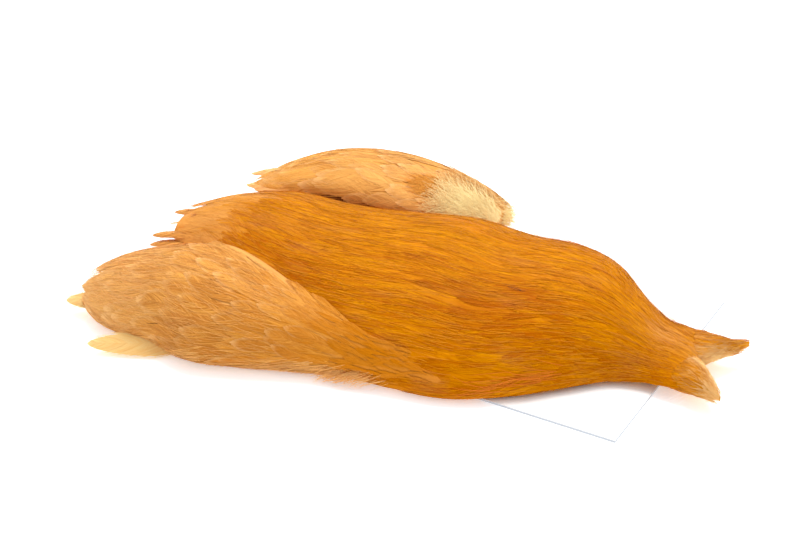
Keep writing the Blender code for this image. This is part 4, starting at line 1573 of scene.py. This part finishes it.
class AddLooseFeathers(bpy.types.Operator):
    """Lay the single pale feathers that stick out"""

    bl_idname = "cape.add_loose_feathers"
    bl_label = "Loose feathers"

    def execute(self, context):
        colours = context.scene.cape_colours
        fluff, golden = fluff_material(colours), cape_material(colours)
        shoulder = shoulder_material(colours, colours.stain)
        pointed = Make(
            barbs=72, steps=5, angle=20.0, bow=0.45, start=0.1, width=0.20, clump=8, full_to=0.5,
            taper=0.55, sink=0.0, lift=0.0, camber=0.9, rim=0.6,
        )
        blunt = replace(pointed, full_to=0.78, taper=0.5, camber=0.5, rim=0.3)
        cream, tips = {"fade": 0.0, "shade": 0.4, "stain": 0.15}, {"fade": 0.9, "shade": 0.95}
        slot = "near_shoulder_feathers"
        self.add_feather(
            "under_feather", UNDER_FEATHER, 5.2, -0.45, pointed, 13, cream, fluff, slot
        )
        self.add_feather("tail_feather", TAIL_FEATHER, 5.0, -0.2, pointed, 12, cream, fluff, slot)
        for k, path in enumerate(CAPE_TIPS, start=1):
            name, slot = f"cape_tip_{k}", "cape_feathers"
            self.add_feather(name, path, 3.4, 0.1, blunt, 10, tips, golden, slot)
        for k, path in enumerate(FAR_TIPS, start=1):
            name, slot = f"far_tip_{k}", "far_shoulder_feathers"
            self.add_feather(name, path, 5.6, 0.1, pointed, 9, tips, shoulder, slot)
        return {"FINISHED"}

    def add_feather(self, name, path, half, tilt, make, seed, looks, plume, slot):
        """One feather along a path, with its half width and its tilt about the shaft in radians."""
        rng = np.random.default_rng(seed)
        length = math.dist(path[0], path[1]) + math.dist(path[1], path[2])
        roots = make_roots(
            np.zeros(1), np.zeros(1), rng, length=length, half=half, yaw=0.0, swing=0.0, mottle=0.0
        )
        for look, value in {"length": length, **looks}.items():
            roots[look][:] = value
        sheaf = Sheaf()
        add_feathers(sheaf, on_path(path, tilt, length), make, roots, rng)
        sheaf.mesh(name, plume, slot)


class FinishCad(bpy.types.Operator):
    """Give the skin and the card their own finish"""

    bl_idname = "cape.finish_cad"
    bl_label = "Skin and card"

    def execute(self, context):
        colours = context.scene.cape_colours
        skin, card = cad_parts["skin"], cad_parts["backing_card"]
        skin.material_slots[0].material = plain_material("skin_finish", colours.skin, 0.6)
        card.material_slots[0].material = self.card_material(colours)
        return {"FINISHED"}

    def card_material(self, colours):
        """White card whose colour changes below its top face to the painted shade of its sides."""
        paper = plain_material("card_finish", colours.card, 0.8)
        nodes, links = paper.node_tree.nodes, paper.node_tree.links
        height = nodes.new("ShaderNodeSeparateXYZ")
        links.new(nodes.new("ShaderNodeTexCoord").outputs["Object"], height.inputs[0])
        top = nodes.new("ShaderNodeMath")
        top.operation = "GREATER_THAN"
        top.inputs[1].default_value = (CARD_THICKNESS - 0.02) * MM
        links.new(height.outputs["Z"], top.inputs[0])
        colour = nodes.new("ShaderNodeMix")
        colour.data_type = "RGBA"
        colour.inputs["A"].default_value = (*colours.card_side_shade, 1.0)
        colour.inputs["B"].default_value = (*colours.card, 1.0)
        links.new(top.outputs[0], colour.inputs["Factor"])
        links.new(colour.outputs["Result"], nodes["Principled BSDF"].inputs["Base Color"])
        return paper


class AddStage(bpy.types.Operator):
    """Build the floor, the light and the camera"""

    bl_idname = "cape.add_stage"
    bl_label = "Stage"

    def execute(self, context):
        self.add_floor(context)
        self.add_light(context)
        self.add_camera(context)
        return {"FINISHED"}

    def add_floor(self, context):
        """A white sheet that glows a little, so that it stays as white as the photograph's."""
        bpy.ops.mesh.primitive_plane_add(size=FLOOR_SIZE, location=(0.0, 0.0, 0.0))
        floor = context.active_object
        floor.name = "floor"
        sheet = plain_material("floor_sheet", context.scene.cape_colours.floor, 0.9, 0.1)
        shader = sheet.node_tree.nodes["Principled BSDF"]
        shader.inputs["Emission Color"].default_value = WHITE
        shader.inputs["Emission Strength"].default_value = FLOOR_GLOW
        floor.data.materials.append(sheet)
        floor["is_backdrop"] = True

    def add_light(self, context):
        """Even white light from all round, and one broad lamp above."""
        world = bpy.data.worlds.new("studio")
        world.use_nodes = True
        background = world.node_tree.nodes["Background"]
        background.inputs["Color"].default_value = WHITE
        background.inputs["Strength"].default_value = WORLD_LIGHT
        context.scene.world = world
        context.scene.view_settings.view_transform = "Standard"
        light = bpy.data.lights.new("top light", "AREA")
        light.energy = LIGHT_POWER
        light.size = LIGHT_SIZE
        lamp = bpy.data.objects.new("top light", light)
        lamp.location = LIGHT_PLACE
        lamp.rotation_euler = Vector(LIGHT_PLACE).to_track_quat("Z", "Y").to_euler()
        context.scene.collection.objects.link(lamp)

    def add_camera(self, context):
        """The photograph's own view."""
        camera = bpy.data.cameras.new("camera")
        camera.sensor_width = SENSOR_WIDTH
        camera.lens = 0.5 * SENSOR_WIDTH / math.tan(VIEW_WIDTH_ANGLE / 2)
        camera.clip_start = 0.01
        level = math.cos(CAMERA_RISE)
        back = Vector(
            (math.sin(CAMERA_TURN) * level, -math.cos(CAMERA_TURN) * level, math.sin(CAMERA_RISE))
        )
        eye = bpy.data.objects.new("camera", camera)
        eye.location = (Vector(LOOK) + back * CAMERA_DISTANCE) * MM
        eye.rotation_euler = back.to_track_quat("Z", "Y").to_euler()
        context.scene.collection.objects.link(eye)
        context.scene.camera = eye


class CapePanel(bpy.types.Panel):
    """The cape's steps, colours and sizes"""

    bl_idname = "VIEW3D_PT_hen_cape"
    bl_label = "Hen cape"
    bl_space_type = "VIEW_3D"
    bl_region_type = "UI"
    bl_category = "Cape"

    def draw(self, context):
        layout = self.layout
        for step in STEPS:
            layout.operator(step.bl_idname)
        for group in (context.scene.cape_colours, context.scene.cape_sizes):
            for name in group.__annotations__:
                layout.prop(group, name)


STEPS = (
    FinishCad,
    AddCape,
    AddNeckPoints,
    AddShoulders,
    AddNearRoot,
    AddFarRoot,
    AddTufts,
    AddLooseFeathers,
    AddStage,
)
CLASSES = (CapeColours, CapeSizes, *STEPS, CapePanel)


def register():
    """Make the classes and the scene's settings known to Blender."""
    for made in CLASSES:
        bpy.utils.register_class(made)
    bpy.types.Scene.cape_colours = bpy.props.PointerProperty(type=CapeColours)
    bpy.types.Scene.cape_sizes = bpy.props.PointerProperty(type=CapeSizes)


def unregister():
    """Take them away again."""
    del bpy.types.Scene.cape_sizes
    del bpy.types.Scene.cape_colours
    for made in reversed(CLASSES):
        bpy.utils.unregister_class(made)


def main():
    """Run every step in order."""
    register()
    bpy.ops.cape.finish_cad()
    bpy.ops.cape.add_cape()
    bpy.ops.cape.add_neck_points()
    bpy.ops.cape.add_shoulders()
    bpy.ops.cape.add_near_root()
    bpy.ops.cape.add_far_root()
    bpy.ops.cape.add_tufts()
    bpy.ops.cape.add_loose_feathers()
    bpy.ops.cape.add_stage()
    boxes = {"cad": CAD_BOX, "visual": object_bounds()}
    for name, box in boxes.items():
        boxes[name] = [[float(v) for v in corner] for corner in box]


if __name__ == "__main__":
    main()
